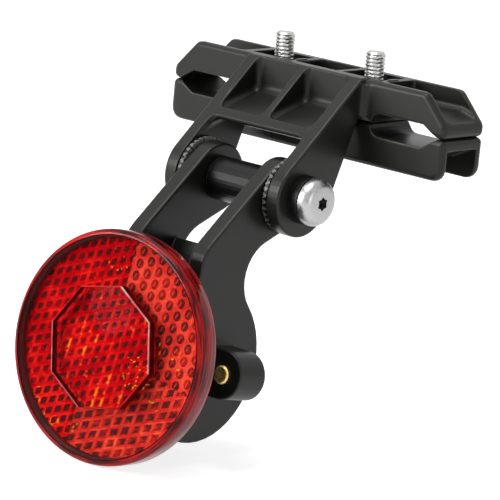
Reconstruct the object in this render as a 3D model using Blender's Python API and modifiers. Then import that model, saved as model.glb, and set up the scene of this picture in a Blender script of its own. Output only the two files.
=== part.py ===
"""A round red reflector for a bicycle, on a swivelling arm that a two-jaw clamp holds to the saddle's rails.

Metres, +Z up. X runs across the bicycle, -Y points to the rear and +Y to the front. The origin is the middle
of the clamp, on the plane where its two jaws part. The arm swings about a bolt that runs along X.
"""

from math import acos, atan2, cos, pi, radians, sin, sqrt, tan

import bmesh
import bpy
from mathutils import Matrix, Vector
from mathutils.geometry import intersect_line_sphere_2d, intersect_sphere_sphere_2d

# Clearances
GAP = 0.0003
HOLE_GAP = 0.0003
SCREW_PLAY = 0.0004

# Clamp bar, which both jaws share
BAR_LENGTH = 0.075
BAR_DEPTH = 0.013
BAR_ROUNDING = 0.0009

# Rail grooves, half in each jaw
GROOVE_INNER = 0.018
GROOVE_OUTER = 0.0358
GROOVE_FLAT_END = 0.0318
GROOVE_HALF_HEIGHT = 0.0024

# Upper jaw
UPPER_HEIGHT = 0.0088
UPPER_WALL = 0.0017
END_FLAT_HEIGHT = 0.0027
END_CHAMFER_LENGTH = 0.00575
RECESS_DEPTH = 0.0044
RECESS_FLAT_END = 0.0328
RECESS_END_HEIGHT = 0.003
CENTRE_RECESS_HALF = 0.0055
RECESS_ROUNDING = 0.0012
NUT_SLOT_LENGTH = 0.011
NUT_SLOT_DEPTH = 0.0058
SLOT_WALL = 0.0018

# Lower jaw
LOWER_HEIGHT = 0.0087
LOWER_WALL = 0.00185
LOWER_CORNER = 0.0025
ROOF_THICKNESS = 0.0022
END_ROOF_THICKNESS = 0.0024
END_ROOF_LENGTH = 0.0012

# Clamp screws, M4 with low cylindrical heads
SCREW_SPACING = 0.025
SCREW_RADIUS = 0.002
SCREW_STANDS_OUT = 0.0049
SCREW_TIP_CHAMFER = 0.0004
SCREW_HEAD_RADIUS = 0.0035
SCREW_HEAD_HEIGHT = 0.0028
SCREW_SOCKET_ACROSS = 0.0025
SCREW_SOCKET_DEPTH = 0.0015
SPRING_WASHER_RADIUS = 0.0034
SPRING_WASHER_THICKNESS = 0.001
M4_NUT_ACROSS = 0.007
M4_NUT_HEIGHT = 0.0032

# Two arms and the ribbed tray between them, in one piece with the upper jaw
ARM_OUTER = 0.0158
ARM_THICKNESS = 0.0031
ARM_SLOPE = radians(42)
ARM_BACK_ANGLE = radians(68.3)
ARM_CREST = 0.0002
ARM_CREST_RADIUS = 0.0015
ARM_ROUNDING = 0.0004
ARM_FILLET = 0.002
EAR_RADIUS = 0.008
TRAY_REACH = 0.0138
TRAY_BACK_WALL = 0.001
TRAY_BEAM = 0.0014
TRAY_RIB = 0.0017
TRAY_LIP_HEIGHT = 0.0015
TRAY_ROOT_HEIGHT = 0.0002
TRAY_FLOOR = 0.0018
TRAY_CORNER = 0.0014

# Pivot, with its axis along X
PIVOT_Y = -0.0222
PIVOT_Z = -0.015
PIVOT_BOLT_RADIUS = 0.0025
BOLT_HEAD_RADIUS = 0.0049
BOLT_HEAD_HEIGHT = 0.0026
BOLT_HEAD_RIM = 0.0007
BOLT_HEAD_FLAT = 0.0029
DOME_START = radians(15)
DOME_END = radians(75)
BOLT_SOCKET_ACROSS = 0.003
BOLT_SOCKET_DEPTH = 0.0016
SPACER_RADIUS = 0.005
SPACER_THICKNESS = 0.0019
PIVOT_NUT_ACROSS = 0.008
PIVOT_NUT_HEIGHT = 0.0027
NUT_RECESS_DEPTH = 0.002
BOLT_END = 0.0004
SLEEVE_RADIUS = 0.0046
TOOTHED_RADIUS = 0.0078
TOOTH_COUNT = 48
TOOTH_HEIGHT = 0.0003

# Swing arm: two plates with round ends, a curved back web and a flat front wall
PLATE_INNER = 0.0073
PLATE_THICKNESS = 0.0038
PLATE_ROUNDING = 0.0004
END_RADIUS = 0.0073
PLATE_SLOPE = radians(40.5)
PLATE_SHOULDER_RADIUS = 0.008
WAIST_RADIUS = 0.00806
WAIST_REACH = 0.0173
BASE_Y = -0.0207
BASE_Z = -0.033
BASE_RADIUS = 0.0165
WEB_TOP_ANGLE = radians(150)
WEB_THICKNESS = 0.003
WEB_INSET = 0.0005
WALL_TOP = 0.014
ACCESS_HOLE_RADIUS = 0.0055

# Boss on the arm's right side, with a small screw in it
BOSS_X = 0.0159
BOSS_DROP = 0.0016
BOSS_RADIUS = 0.00505
BOSS_SETBACK = 0.0206
BOSS_LENGTH = 0.0078
BOSS_ROUNDING = 0.0003
BOSS_SCREW_RADIUS = 0.0011
BOSS_SCREW_HEAD_RADIUS = 0.0019
BOSS_SCREW_HEAD_HEIGHT = 0.001
BOSS_SCREW_LENGTH = 0.004
BOSS_SINK_DEPTH = 0.0009

# Reflector. Its stem is square to the arm's wall, tilted down from +Y by REFLECTOR_TILT. The lens's own
# axis crosses the stem's at AIM_SETBACK: it faces a little to the right and is turned about that axis.
REFLECTOR_TILT = radians(8.2)
STEM_Y = -0.0402
STEM_Z = -0.0297
AIM_SETBACK = 0.0116
LENS_STANDOFF = 0.01
LENS_YAW = radians(5.5)
LENS_ROLL = radians(11.9)
LENS_RADIUS = 0.02365
LENS_BACK_RADIUS = 0.02335
LENS_EDGE_ROUNDING = 0.0012
LENS_DEPTH = 0.0052
LENS_THICKNESS = 0.0019
LENS_INNER_RADIUS = 0.0219
OCTAGON_ACROSS = 0.0244
OCTAGON_HEIGHT = 0.0019
OCTAGON_FACE = 0.0022
OCTAGON_WALL = 0.0014
PRISM_PITCH = 0.0023
PRISM_HEIGHT = 0.0008
PRISM_ROOT = 0.0001
PRISM_MARGIN = 0.0004
PRISM_TURN = radians(21.5)
BACK_PLATE_THICKNESS = 0.0018
STEM_RADIUS = 0.0068
ARM_SETBACK = 0.014
STUD_RADIUS = 0.0025
STUD_HEAD_ACROSS = 0.008
STUD_HEAD_HEIGHT = 0.0032
STUD_PAST_NUT = 0.0015
M5_WASHER_RADIUS = 0.005
M5_WASHER_THICKNESS = 0.001
M5_NUT_ACROSS = 0.008
M5_NUT_HEIGHT = 0.004
NUT_CHAMFER = 0.0004

# How finely round shapes are divided
ROUND_STEPS = 40
LENS_STEPS = 72
CORNER_STEPS = 4
EAR_STEPS = 24
PLATE_END_STEPS = 16
WAIST_STEPS = 10
BASE_STEPS = 20
BOSS_STEPS = 16
BOSS_SCREW_STEPS = 24
SHARP_FROM = radians(35)
BEVEL_FROM = radians(40)

# Turns that stand outlines and round pieces along an axis
YZ_OUTLINE = (pi / 2, 0, pi / 2)
XZ_OUTLINE = (pi / 2, 0, 0)
ALONG_X = (0, pi / 2, 0)
REFLECTOR_TURN = (-pi / 2 - REFLECTOR_TILT, 0, 0)

OVERSHOOT = 0.002
INSIDE = 0.001


def clear_scene():
    for old in list(bpy.data.objects):
        bpy.data.objects.remove(old, do_unlink=True)


def new_collection(name):
    collection = bpy.data.collections.new(name)
    bpy.context.scene.collection.children.link(collection)
    return collection


def new_material(name, colour, roughness, metallic=0.0):
    material = bpy.data.materials.new(name)
    material.use_nodes = True
    shader = material.node_tree.nodes["Principled BSDF"]
    shader.inputs["Base Color"].default_value = (*colour, 1)
    shader.inputs["Roughness"].default_value = roughness
    shader.inputs["Metallic"].default_value = metallic
    material.diffuse_color = (*colour, 1)
    return material


def new_empty(name, location, rotation=(0, 0, 0), parent=None):
    empty = bpy.data.objects.new(name, None)
    parts.objects.link(empty)
    empty.location = location
    empty.rotation_euler = rotation
    empty.parent = parent
    return empty


def place(name, mesh, location=(0, 0, 0), rotation=(0, 0, 0), parent=None):
    """A tool or guide shape: finish() later makes the ones that are pieces visible."""
    solid = bpy.data.objects.new(name, mesh)
    tools.objects.link(solid)
    solid.location = location
    solid.rotation_euler = rotation
    solid.parent = parent
    solid.hide_render = True
    solid.display_type = "WIRE"
    return solid


def finish(solid, material):
    """Moves a shape from the tools to the object's own pieces."""
    tools.objects.unlink(solid)
    parts.objects.link(solid)
    solid.hide_render = False
    solid.display_type = "TEXTURED"
    solid.data.shade_smooth()
    solid.data.set_sharp_from_angle(angle=SHARP_FROM)
    solid.data.materials.append(material)


def extruded(name, outline, thickness, location=(0, 0, 0), rotation=(0, 0, 0), parent=None):
    """A flat closed outline in the local XY plane, thickened evenly to both sides along the local Z."""
    curve = bpy.data.curves.new(name, "CURVE")
    curve.dimensions = "2D"
    curve.fill_mode = "BOTH"
    curve.extrude = thickness / 2
    spline = curve.splines.new("POLY")
    spline.points.add(len(outline) - 1)
    for point, (x, y) in zip(spline.points, outline):
        point.co = (x, y, 0, 1)
    spline.use_cyclic_u = True
    guide = bpy.data.objects.new(name + "_outline", curve)
    tools.objects.link(guide)
    graph = bpy.context.evaluated_depsgraph_get()
    mesh = bpy.data.meshes.new_from_object(guide.evaluated_get(graph))
    bpy.data.objects.remove(guide)
    bm = bmesh.new()
    bm.from_mesh(mesh)
    bmesh.ops.remove_doubles(bm, verts=bm.verts, dist=1e-6)
    bmesh.ops.dissolve_limit(bm, angle_limit=radians(0.5), verts=bm.verts, edges=bm.edges)
    bmesh.ops.recalc_face_normals(bm, faces=bm.faces)
    bm.to_mesh(mesh)
    bm.free()
    mesh.materials.clear()
    return place(name, mesh, location, rotation, parent)


def cylinder(name, radius, length, location, rotation=(0, 0, 0), parent=None, sides=ROUND_STEPS):
    """A round or many-sided bar, centred on its location along the local Z."""
    mesh = bpy.data.meshes.new(name)
    bm = bmesh.new()
    bmesh.ops.create_cone(bm, cap_ends=True, segments=sides, radius1=radius, radius2=radius, depth=length)
    bm.to_mesh(mesh)
    bm.free()
    return place(name, mesh, location, rotation, parent)


def block(name, size, location, parent=None):
    mesh = bpy.data.meshes.new(name)
    bm = bmesh.new()
    bmesh.ops.create_cube(bm, size=1, matrix=Matrix.Diagonal((*size, 1)))
    bm.to_mesh(mesh)
    bm.free()
    return place(name, mesh, location, parent=parent)


def turned(name, profile, location, rotation=(0, 0, 0), parent=None, ring=False, steps=ROUND_STEPS):
    """A profile of (radius, height) turned about the local Z. A ring's profile is a closed loop."""
    mesh = bpy.data.meshes.new(name)
    bm = bmesh.new()
    points = [bm.verts.new((radius, 0, height)) for radius, height in profile]
    for start, end in zip(points, points[1:]):
        bm.edges.new((start, end))
    if ring:
        bm.edges.new((points[-1], points[0]))
    bm.to_mesh(mesh)
    bm.free()
    solid = place(name, mesh, location, rotation, parent)
    screw = solid.modifiers.new("turn", "SCREW")
    screw.axis = "Z"
    screw.angle = 2 * pi
    screw.steps = steps
    screw.render_steps = steps
    screw.use_merge_vertices = True
    screw.merge_threshold = 0.00001
    return solid


def rounded(solid, width, segments=2):
    bevel = solid.modifiers.new("rounding", "BEVEL")
    bevel.width = width
    bevel.segments = segments
    bevel.limit_method = "ANGLE"
    bevel.angle_limit = BEVEL_FROM
    return solid


def combine(solid, other, operation):
    change = solid.modifiers.new(other.name, "BOOLEAN")
    change.operation = operation
    change.solver = "EXACT"
    change.object = other


def cut(solid, cutter):
    combine(solid, cutter, "DIFFERENCE")


def join(solid, addition):
    combine(solid, addition, "UNION")


def around(centre, radius, angle):
    """The point on a circle at an angle, in radians."""
    return (centre[0] + radius * cos(angle), centre[1] + radius * sin(angle))


def arc(centre, radius, start, end, steps):
    """Points on a circle from one angle to another."""
    return [around(centre, radius, start + (end - start) * i / steps) for i in range(steps + 1)]


def corner(point, before, after, radius, steps=CORNER_STEPS):
    """The round corner at a point, on the way from the point before it to the one after it."""
    here = Vector(point)
    back = (Vector(before) - here).normalized()
    ahead = (Vector(after) - here).normalized()
    half = acos(max(-1, min(1, back.dot(ahead)))) / 2
    centre = here + (back + ahead).normalized() * radius / sin(half)
    first = here + back * radius / tan(half) - centre
    last = here + ahead * radius / tan(half) - centre
    start = atan2(first.y, first.x)
    sweep = (atan2(last.y, last.x) - start + pi) % (2 * pi) - pi
    return arc(centre, radius, start, start + sweep, steps)


def meeting(point, direction, other_point, other_direction):
    """Where two lines in a plane cross."""
    p, u = Vector(point), Vector(direction)
    q, v = Vector(other_point), Vector(other_direction)
    return tuple(p + u * ((q - p).cross(v) / u.cross(v)))


def on_line(point, angle, height):
    """The point at a given height on a line through a point at an angle."""
    return (point[0] + (height - point[1]) / tan(angle), height)


def across_corners(across_flats, sides=6):
    return across_flats / 2 / cos(pi / sides)


def chamfered_nut(name, across, height, bore, location, rotation=(0, 0, 0), parent=None):
    """A hex nut: a turned blank with chamfered rims and a plain bore, trimmed to six sides."""
    widest = across_corners(across)
    top = height / 2
    profile = [
        (bore, top),
        (widest - NUT_CHAMFER, top),
        (widest, top - NUT_CHAMFER / 2),
        (widest, NUT_CHAMFER / 2 - top),
        (widest - NUT_CHAMFER, -top),
        (bore, -top),
    ]
    nut = turned(name, profile, location, rotation, parent, ring=True)
    trim = cylinder(name + "_sides", widest, height + OVERSHOOT, location, rotation, parent, sides=6)
    combine(nut, trim, "INTERSECT")
    return nut


def flat_ring(name, radius, bore, thickness, location, rotation=(0, 0, 0), parent=None):
    top = thickness / 2
    profile = [(bore, top), (radius, top), (radius, -top), (bore, -top)]
    return turned(name, profile, location, rotation, parent, ring=True)


def groove_outline():
    """A rail groove seen from behind, right side: round at its inner end and pointed at its outer end."""
    height = GROOVE_HALF_HEIGHT
    round_end = arc((GROOVE_INNER + height, 0), height, pi / 2, 3 * pi / 2, 2 * CORNER_STEPS)
    return round_end + [(GROOVE_FLAT_END, -height), (GROOVE_OUTER, 0), (GROOVE_FLAT_END, height)]


def mirrored(outline):
    return [(-x, y) for x, y in outline]


def cut_grooves(jaw, name):
    for side, outline in (("left", mirrored(groove_outline())), ("right", groove_outline())):
        groove = extruded(f"{name}_groove_{side}", outline, BAR_DEPTH + 2 * OVERSHOOT, rotation=XZ_OUTLINE)
        cut(jaw, groove)


def cut_screw_holes(jaw, name, middle, length):
    for side in (-1, 1):
        hole = cylinder(
            f"{name}_hole_{side}", SCREW_RADIUS + SCREW_PLAY, length, (side * SCREW_SPACING / 2, 0, middle)
        )
        cut(jaw, hole)


# Heights and places that several pieces share
half_bar = BAR_LENGTH / 2
half_depth = BAR_DEPTH / 2
upper_bottom = GAP / 2
lower_top = -GAP / 2
arm_inner = ARM_OUTER - ARM_THICKNESS
recess_floor = UPPER_HEIGHT - RECESS_DEPTH
nut_slot_floor = UPPER_HEIGHT - NUT_SLOT_DEPTH
screw_top = UPPER_HEIGHT + SCREW_STANDS_OUT
roof_height = -GROOVE_HALF_HEIGHT - ROOF_THICKNESS
pivot_hole_radius = PIVOT_BOLT_RADIUS + HOLE_GAP
plate_outer = PLATE_INNER + PLATE_THICKNESS


def arm_outline():
    """Both arms from the side, in (Y, Z): down the slope from the bar, round the ear and up the back."""
    ear = (PIVOT_Y, PIVOT_Z)
    crest_height = UPPER_HEIGHT + ARM_CREST
    slope_start = around(ear, EAR_RADIUS, pi / 2 + ARM_SLOPE)
    crest = on_line(slope_start, ARM_SLOPE, crest_height)
    back_angle = ARM_BACK_ANGLE - pi / 2
    back_start = around(ear, EAR_RADIUS, back_angle)
    heel = on_line(back_start, ARM_BACK_ANGLE, upper_bottom + GAP)
    inside_bar = INSIDE - half_depth
    behind_crest = (crest[0] + 2 * ARM_CREST_RADIUS, crest_height)
    outline = [(inside_bar, UPPER_HEIGHT - BAR_ROUNDING), behind_crest]
    outline += corner(crest, behind_crest, slope_start, ARM_CREST_RADIUS)
    outline += arc(ear, EAR_RADIUS, pi / 2 + ARM_SLOPE, back_angle + 2 * pi, EAR_STEPS)
    outline += [heel, (inside_bar, heel[1])]
    return outline


def fork_outline():
    """What is cut away between the arms: all that lies below the tray or in front of it."""
    front = -half_depth - TRAY_REACH
    slope_start = around((PIVOT_Y, PIVOT_Z), EAR_RADIUS, pi / 2 + ARM_SLOPE)
    lip_top = slope_start[1] + (front - slope_start[0]) * tan(ARM_SLOPE)
    lip_bottom = lip_top - TRAY_LIP_HEIGHT
    root = (-half_depth, TRAY_ROOT_HEIGHT)
    rise = (root[1] - lip_bottom) / (root[0] - front)
    inside = (root[0] + INSIDE, root[1] + INSIDE * rise)
    far_front = PIVOT_Y - EAR_RADIUS - OVERSHOOT
    below = PIVOT_Z - EAR_RADIUS - OVERSHOOT
    above = UPPER_HEIGHT + OVERSHOOT
    return [
        (front, above),
        (front, lip_bottom),
        inside,
        (inside[0], below),
        (far_front, below),
        (far_front, above),
    ]


def pocket_outline():
    """One of the tray's pockets from the side. Its floor follows the tray's underside."""
    outline = fork_outline()
    front, lip_bottom = outline[1]
    inside = outline[2]
    rise = (inside[1] - lip_bottom) / (inside[0] - front)
    pocket_front = front + TRAY_BEAM
    pocket_back = -half_depth - TRAY_BACK_WALL
    floor_front = lip_bottom + (pocket_front - front) * rise + TRAY_FLOOR
    floor_back = lip_bottom + (pocket_back - front) * rise + TRAY_FLOOR
    above = UPPER_HEIGHT + 2 * OVERSHOOT
    return [
        (pocket_back, above),
        (pocket_back, floor_back),
        (pocket_front, floor_front),
        (pocket_front, above),
    ]


def upper_bar():
    """The upper half of the clamp bar, with its sloping ends."""
    shoulder = half_bar - END_CHAMFER_LENGTH
    outline = [
        (-half_bar, upper_bottom),
        (half_bar, upper_bottom),
        (half_bar, END_FLAT_HEIGHT),
        (shoulder, UPPER_HEIGHT),
        (-shoulder, UPPER_HEIGHT),
        (-half_bar, END_FLAT_HEIGHT),
    ]
    return rounded(extruded("upper_bar", outline, BAR_DEPTH, rotation=XZ_OUTLINE), BAR_ROUNDING)


def make_upper_clamp_bracket():
    bracket = extruded("upper_clamp_bracket", arm_outline(), 2 * ARM_OUTER, rotation=YZ_OUTLINE)
    rounded(bracket, ARM_ROUNDING)
    fork = extruded("fork_cut", fork_outline(), 2 * arm_inner, rotation=YZ_OUTLINE)
    rounded(fork, TRAY_CORNER, CORNER_STEPS)
    cut(bracket, fork)
    join(bracket, upper_bar())
    add_arm_fillets(bracket)
    cut_grooves(bracket, "upper")
    cut_recesses(bracket)
    cut_screw_holes(bracket, "upper", UPPER_HEIGHT / 2, UPPER_HEIGHT + OVERSHOOT)
    for side in (-1, 1):
        middle = side * (TRAY_RIB / 2 + arm_inner) / 2
        width = arm_inner - TRAY_RIB / 2
        pocket = extruded(f"tray_pocket_{side}", pocket_outline(), width, (middle, 0, 0), YZ_OUTLINE)
        rounded(pocket, TRAY_CORNER, CORNER_STEPS)
        cut(bracket, pocket)
    pivot_hole = cylinder(
        "ear_hole", pivot_hole_radius, 2 * ARM_OUTER + OVERSHOOT, (0, PIVOT_Y, PIVOT_Z), ALONG_X
    )
    cut(bracket, pivot_hole)
    recess_radius = across_corners(PIVOT_NUT_ACROSS + 2 * GAP)
    nut_recess = cylinder(
        "nut_recess", recess_radius, 2 * NUT_RECESS_DEPTH, (-ARM_OUTER, PIVOT_Y, PIVOT_Z), ALONG_X, sides=6
    )
    cut(bracket, nut_recess)
    finish(bracket, new_material("bracket_black", (0.05, 0.05, 0.045), 0.5))


def add_arm_fillets(bracket):
    """The upright fillets where the arms' outer faces meet the bar's face."""
    length = UPPER_HEIGHT - upper_bottom - 2 * BAR_ROUNDING - GAP
    middle = (UPPER_HEIGHT + upper_bottom) / 2
    for side in (-1, 1):
        curve = corner(
            (ARM_OUTER, -half_depth),
            (ARM_OUTER + ARM_FILLET, -half_depth),
            (ARM_OUTER, -half_depth - ARM_FILLET),
            ARM_FILLET - GAP / 2,
        )
        outline = [(ARM_OUTER - INSIDE, INSIDE - half_depth), (ARM_OUTER + ARM_FILLET, INSIDE - half_depth)]
        outline += curve + [(ARM_OUTER - INSIDE, -half_depth - ARM_FILLET)]
        if side < 0:
            outline = mirrored(outline)
        fillet = extruded(f"arm_fillet_{side}", outline, length, (0, 0, middle))
        join(bracket, fillet)


def end_recess_outline(start, top):
    """The right end's recess from the side. Its floor slopes down and runs out at the bar's end."""
    beyond = half_bar + 2 * OVERSHOOT
    slope = (recess_floor - RECESS_END_HEIGHT) / (half_bar - RECESS_FLAT_END)
    return [
        (start, top),
        (start, recess_floor),
        (RECESS_FLAT_END, recess_floor),
        (beyond, recess_floor - (beyond - RECESS_FLAT_END) * slope),
        (beyond, top),
    ]


def cut_recesses(bracket):
    """The open recesses in the bar's top, and the two slots that keep the nuts from turning."""
    top = UPPER_HEIGHT + OVERSHOOT
    width = BAR_DEPTH - 2 * UPPER_WALL
    nut_width = M4_NUT_ACROSS + 2 * GAP
    slot_end = SCREW_SPACING / 2 + NUT_SLOT_LENGTH / 2
    outer_start = slot_end + SLOT_WALL
    spans = [
        ("centre_recess", -CENTRE_RECESS_HALF, CENTRE_RECESS_HALF, recess_floor, width, RECESS_ROUNDING),
        ("nut_slot_right", slot_end - NUT_SLOT_LENGTH, slot_end, nut_slot_floor, nut_width, 0),
        ("nut_slot_left", -slot_end, NUT_SLOT_LENGTH - slot_end, nut_slot_floor, nut_width, 0),
    ]
    for name, start, end, floor, across, rounding in spans:
        recess = block(name, (end - start, across, top - floor), ((start + end) / 2, 0, (top + floor) / 2))
        if rounding:
            rounded(recess, rounding)
        cut(bracket, recess)
    for side in (-1, 1):
        outline = end_recess_outline(outer_start, top)
        if side < 0:
            outline = mirrored(outline)
        recess = extruded(f"end_recess_{side}", outline, width, rotation=XZ_OUTLINE)
        cut(bracket, rounded(recess, RECESS_ROUNDING))


def make_lower_clamp_jaw():
    """The lower jaw is a channel, open below and at both ends."""
    bottom = -LOWER_HEIGHT
    edge = half_bar - LOWER_CORNER
    outline = [(-half_bar, lower_top)]
    outline += arc((-edge, bottom + LOWER_CORNER), LOWER_CORNER, pi, 3 * pi / 2, CORNER_STEPS)
    outline += arc((edge, bottom + LOWER_CORNER), LOWER_CORNER, -pi / 2, 0, CORNER_STEPS)
    outline += [(half_bar, lower_top)]
    jaw = rounded(extruded("lower_clamp_jaw", outline, BAR_DEPTH, rotation=XZ_OUTLINE), BAR_ROUNDING)
    cut_grooves(jaw, "lower")
    beyond = half_bar + OVERSHOOT
    end_roof = half_bar - END_ROOF_LENGTH
    below = bottom - OVERSHOOT
    roof = [
        (-beyond, below),
        (beyond, below),
        (beyond, -END_ROOF_THICKNESS),
        (end_roof, -END_ROOF_THICKNESS),
        (GROOVE_FLAT_END, roof_height),
        (-GROOVE_FLAT_END, roof_height),
        (-end_roof, -END_ROOF_THICKNESS),
        (-beyond, -END_ROOF_THICKNESS),
    ]
    channel = extruded("channel", roof, BAR_DEPTH - 2 * LOWER_WALL, rotation=XZ_OUTLINE)
    cut(jaw, channel)
    cut_screw_holes(jaw, "lower", roof_height / 2, -roof_height + OVERSHOOT)
    finish(jaw, new_material("jaw_black", (0.05, 0.05, 0.045), 0.5))


def make_clamp_fasteners():
    """Two screws up through both jaws, each with a spring washer under its head and a nut in its slot."""
    steel = (0.7, 0.7, 0.7)
    washer_top = roof_height - GAP
    head_top = washer_top - SPRING_WASHER_THICKNESS - GAP
    head_bottom = head_top - SCREW_HEAD_HEIGHT
    for side, x in (("left", -SCREW_SPACING / 2), ("right", SCREW_SPACING / 2)):
        profile = [
            (0, screw_top),
            (SCREW_RADIUS - SCREW_TIP_CHAMFER, screw_top),
            (SCREW_RADIUS, screw_top - SCREW_TIP_CHAMFER),
            (SCREW_RADIUS, head_top),
            (SCREW_HEAD_RADIUS, head_top),
            (SCREW_HEAD_RADIUS, head_bottom),
            (0, head_bottom),
        ]
        screw = turned(f"clamp_screw_{side}", profile, (x, 0, 0))
        socket = cylinder(
            f"screw_socket_{side}",
            across_corners(SCREW_SOCKET_ACROSS),
            2 * SCREW_SOCKET_DEPTH,
            (x, 0, head_bottom),
            sides=6,
        )
        cut(screw, socket)
        finish(screw, new_material(f"clamp_screw_{side}_steel", steel, 0.25, 1))
        washer = flat_ring(
            f"clamp_washer_{side}",
            SPRING_WASHER_RADIUS,
            SCREW_RADIUS + HOLE_GAP,
            SPRING_WASHER_THICKNESS,
            (x, 0, washer_top - SPRING_WASHER_THICKNESS / 2),
        )
        finish(washer, new_material(f"clamp_washer_{side}_steel", steel, 0.3, 1))
        nut = chamfered_nut(
            f"clamp_nut_{side}",
            M4_NUT_ACROSS,
            M4_NUT_HEIGHT,
            SCREW_RADIUS + HOLE_GAP,
            (x, 0, nut_slot_floor + GAP + M4_NUT_HEIGHT / 2),
            rotation=(0, 0, pi / 6),
        )
        finish(nut, new_material(f"clamp_nut_{side}_steel", steel, 0.3, 1))


def make_pivot():
    """The bolt, its spacer and its nut, the sleeve between the plates, and the toothed discs beside them."""
    steel = (0.7, 0.7, 0.7)
    black = (0.03, 0.03, 0.03)
    spacer_middle = ARM_OUTER + GAP + SPACER_THICKNESS / 2
    head_base = ARM_OUTER + 2 * GAP + SPACER_THICKNESS
    head_top = head_base + BOLT_HEAD_HEIGHT
    nut_seat = NUT_RECESS_DEPTH - ARM_OUTER
    nut_middle = nut_seat - GAP - PIVOT_NUT_HEIGHT / 2
    end = nut_seat - GAP - PIVOT_NUT_HEIGHT - BOLT_END
    centre = (0, PIVOT_Y, PIVOT_Z)
    dome = arc((0, 0), 1, DOME_START, DOME_END, CORNER_STEPS)
    dome_width = BOLT_HEAD_RADIUS - BOLT_HEAD_FLAT
    dome_height = BOLT_HEAD_HEIGHT - BOLT_HEAD_RIM
    profile = [(0, head_top), (BOLT_HEAD_FLAT, head_top)]
    for across, up in reversed(dome):
        profile.append((BOLT_HEAD_FLAT + dome_width * across, head_base + BOLT_HEAD_RIM + dome_height * up))
    profile += [
        (BOLT_HEAD_RADIUS, head_base + BOLT_HEAD_RIM),
        (BOLT_HEAD_RADIUS, head_base),
        (PIVOT_BOLT_RADIUS, head_base),
        (PIVOT_BOLT_RADIUS, end + SCREW_TIP_CHAMFER),
        (PIVOT_BOLT_RADIUS - SCREW_TIP_CHAMFER, end),
        (0, end),
    ]
    bolt = turned("pivot_bolt", profile, centre, ALONG_X)
    socket = cylinder(
        "bolt_socket",
        across_corners(BOLT_SOCKET_ACROSS),
        2 * BOLT_SOCKET_DEPTH,
        (head_top, PIVOT_Y, PIVOT_Z),
        ALONG_X,
        sides=6,
    )
    cut(bolt, socket)
    finish(bolt, new_material("pivot_bolt_steel", steel, 0.25, 1))

    spacer = flat_ring(
        "pivot_washer",
        SPACER_RADIUS,
        pivot_hole_radius,
        SPACER_THICKNESS,
        (spacer_middle, PIVOT_Y, PIVOT_Z),
        ALONG_X,
    )
    finish(spacer, new_material("pivot_washer_black", black, 0.4))
    nut = chamfered_nut(
        "pivot_nut",
        PIVOT_NUT_ACROSS,
        PIVOT_NUT_HEIGHT,
        pivot_hole_radius,
        (nut_middle, PIVOT_Y, PIVOT_Z),
        ALONG_X,
    )
    finish(nut, new_material("pivot_nut_steel", steel, 0.3, 1))
    sleeve = flat_ring(
        "pivot_sleeve", SLEEVE_RADIUS, pivot_hole_radius, 2 * (PLATE_INNER - GAP), (0, 0, 0), ALONG_X, swing
    )
    finish(sleeve, new_material("pivot_sleeve_black", black, 0.3))
    for side, name in ((-1, "left"), (1, "right")):
        disc = toothed_disc(f"toothed_washer_{name}", side)
        finish(disc, new_material(f"toothed_washer_{name}_black", black, 0.5))


def toothed_disc(name, side):
    """A disc that fills the gap between an ear and the swing arm, with radial teeth on the arm's side."""
    thickness = arm_inner - plate_outer - 2 * GAP
    middle = side * (arm_inner + plate_outer) / 2
    teeth_face = -side * thickness / 2
    near = GAP / 10
    radius = TOOTHED_RADIUS
    mesh = bpy.data.meshes.new(name)
    bm = bmesh.new()
    bmesh.ops.create_cone(
        bm, cap_ends=True, segments=2 * TOOTH_COUNT, radius1=radius, radius2=radius, depth=thickness
    )
    caps = [f for f in bm.faces if len(f.verts) > 4]
    face = min(caps, key=lambda f: abs(f.calc_center_median().z - teeth_face))
    bmesh.ops.inset_individual(bm, faces=[face], thickness=radius - 2 * PIVOT_BOLT_RADIUS)
    rim = [v for v in bm.verts if v.co.xy.length > radius - GAP and abs(v.co.z - teeth_face) < near]
    rim.sort(key=lambda v: atan2(v.co.y, v.co.x))
    for valley in rim[::2]:
        valley.co.z += side * TOOTH_HEIGHT
    bm.to_mesh(mesh)
    bm.free()
    disc = place(name, mesh, (middle, PIVOT_Y, PIVOT_Z), ALONG_X)
    bore = cylinder(name + "_bore", pivot_hole_radius, thickness + OVERSHOOT, disc.location, ALONG_X)
    cut(disc, bore)
    return disc


# The swing arm's side view, in (Y, Z) from the pivot. The waist's hollow touches the base's circle.
base = Vector((BASE_Y, BASE_Z))
waist_places = intersect_sphere_sphere_2d((0, 0), WAIST_REACH, base, BASE_RADIUS + WAIST_RADIUS)
waist = max(waist_places, key=lambda place: place.x)
stem_front = Vector((STEM_Y, STEM_Z))
reflector_forward = Vector((cos(REFLECTOR_TILT), -sin(REFLECTOR_TILT)))
reflector_up = Vector((sin(REFLECTOR_TILT), cos(REFLECTOR_TILT)))
base_angle = atan2(*reversed(waist - base))


def from_stem(setback, height):
    """A point in the side view, a distance behind the stem's datum and a height above the stem's axis."""
    return stem_front + reflector_forward * setback + reflector_up * height


def base_meets(setback, radius):
    """The angle at which a line behind the stem's datum leaves the base's circle at the bottom."""
    hits = intersect_line_sphere_2d(from_stem(setback, 0), from_stem(setback, -1), base, radius, False)
    low = min(hits, key=lambda hit: hit.y)
    return atan2(low.y - base.y, low.x - base.x)


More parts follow.
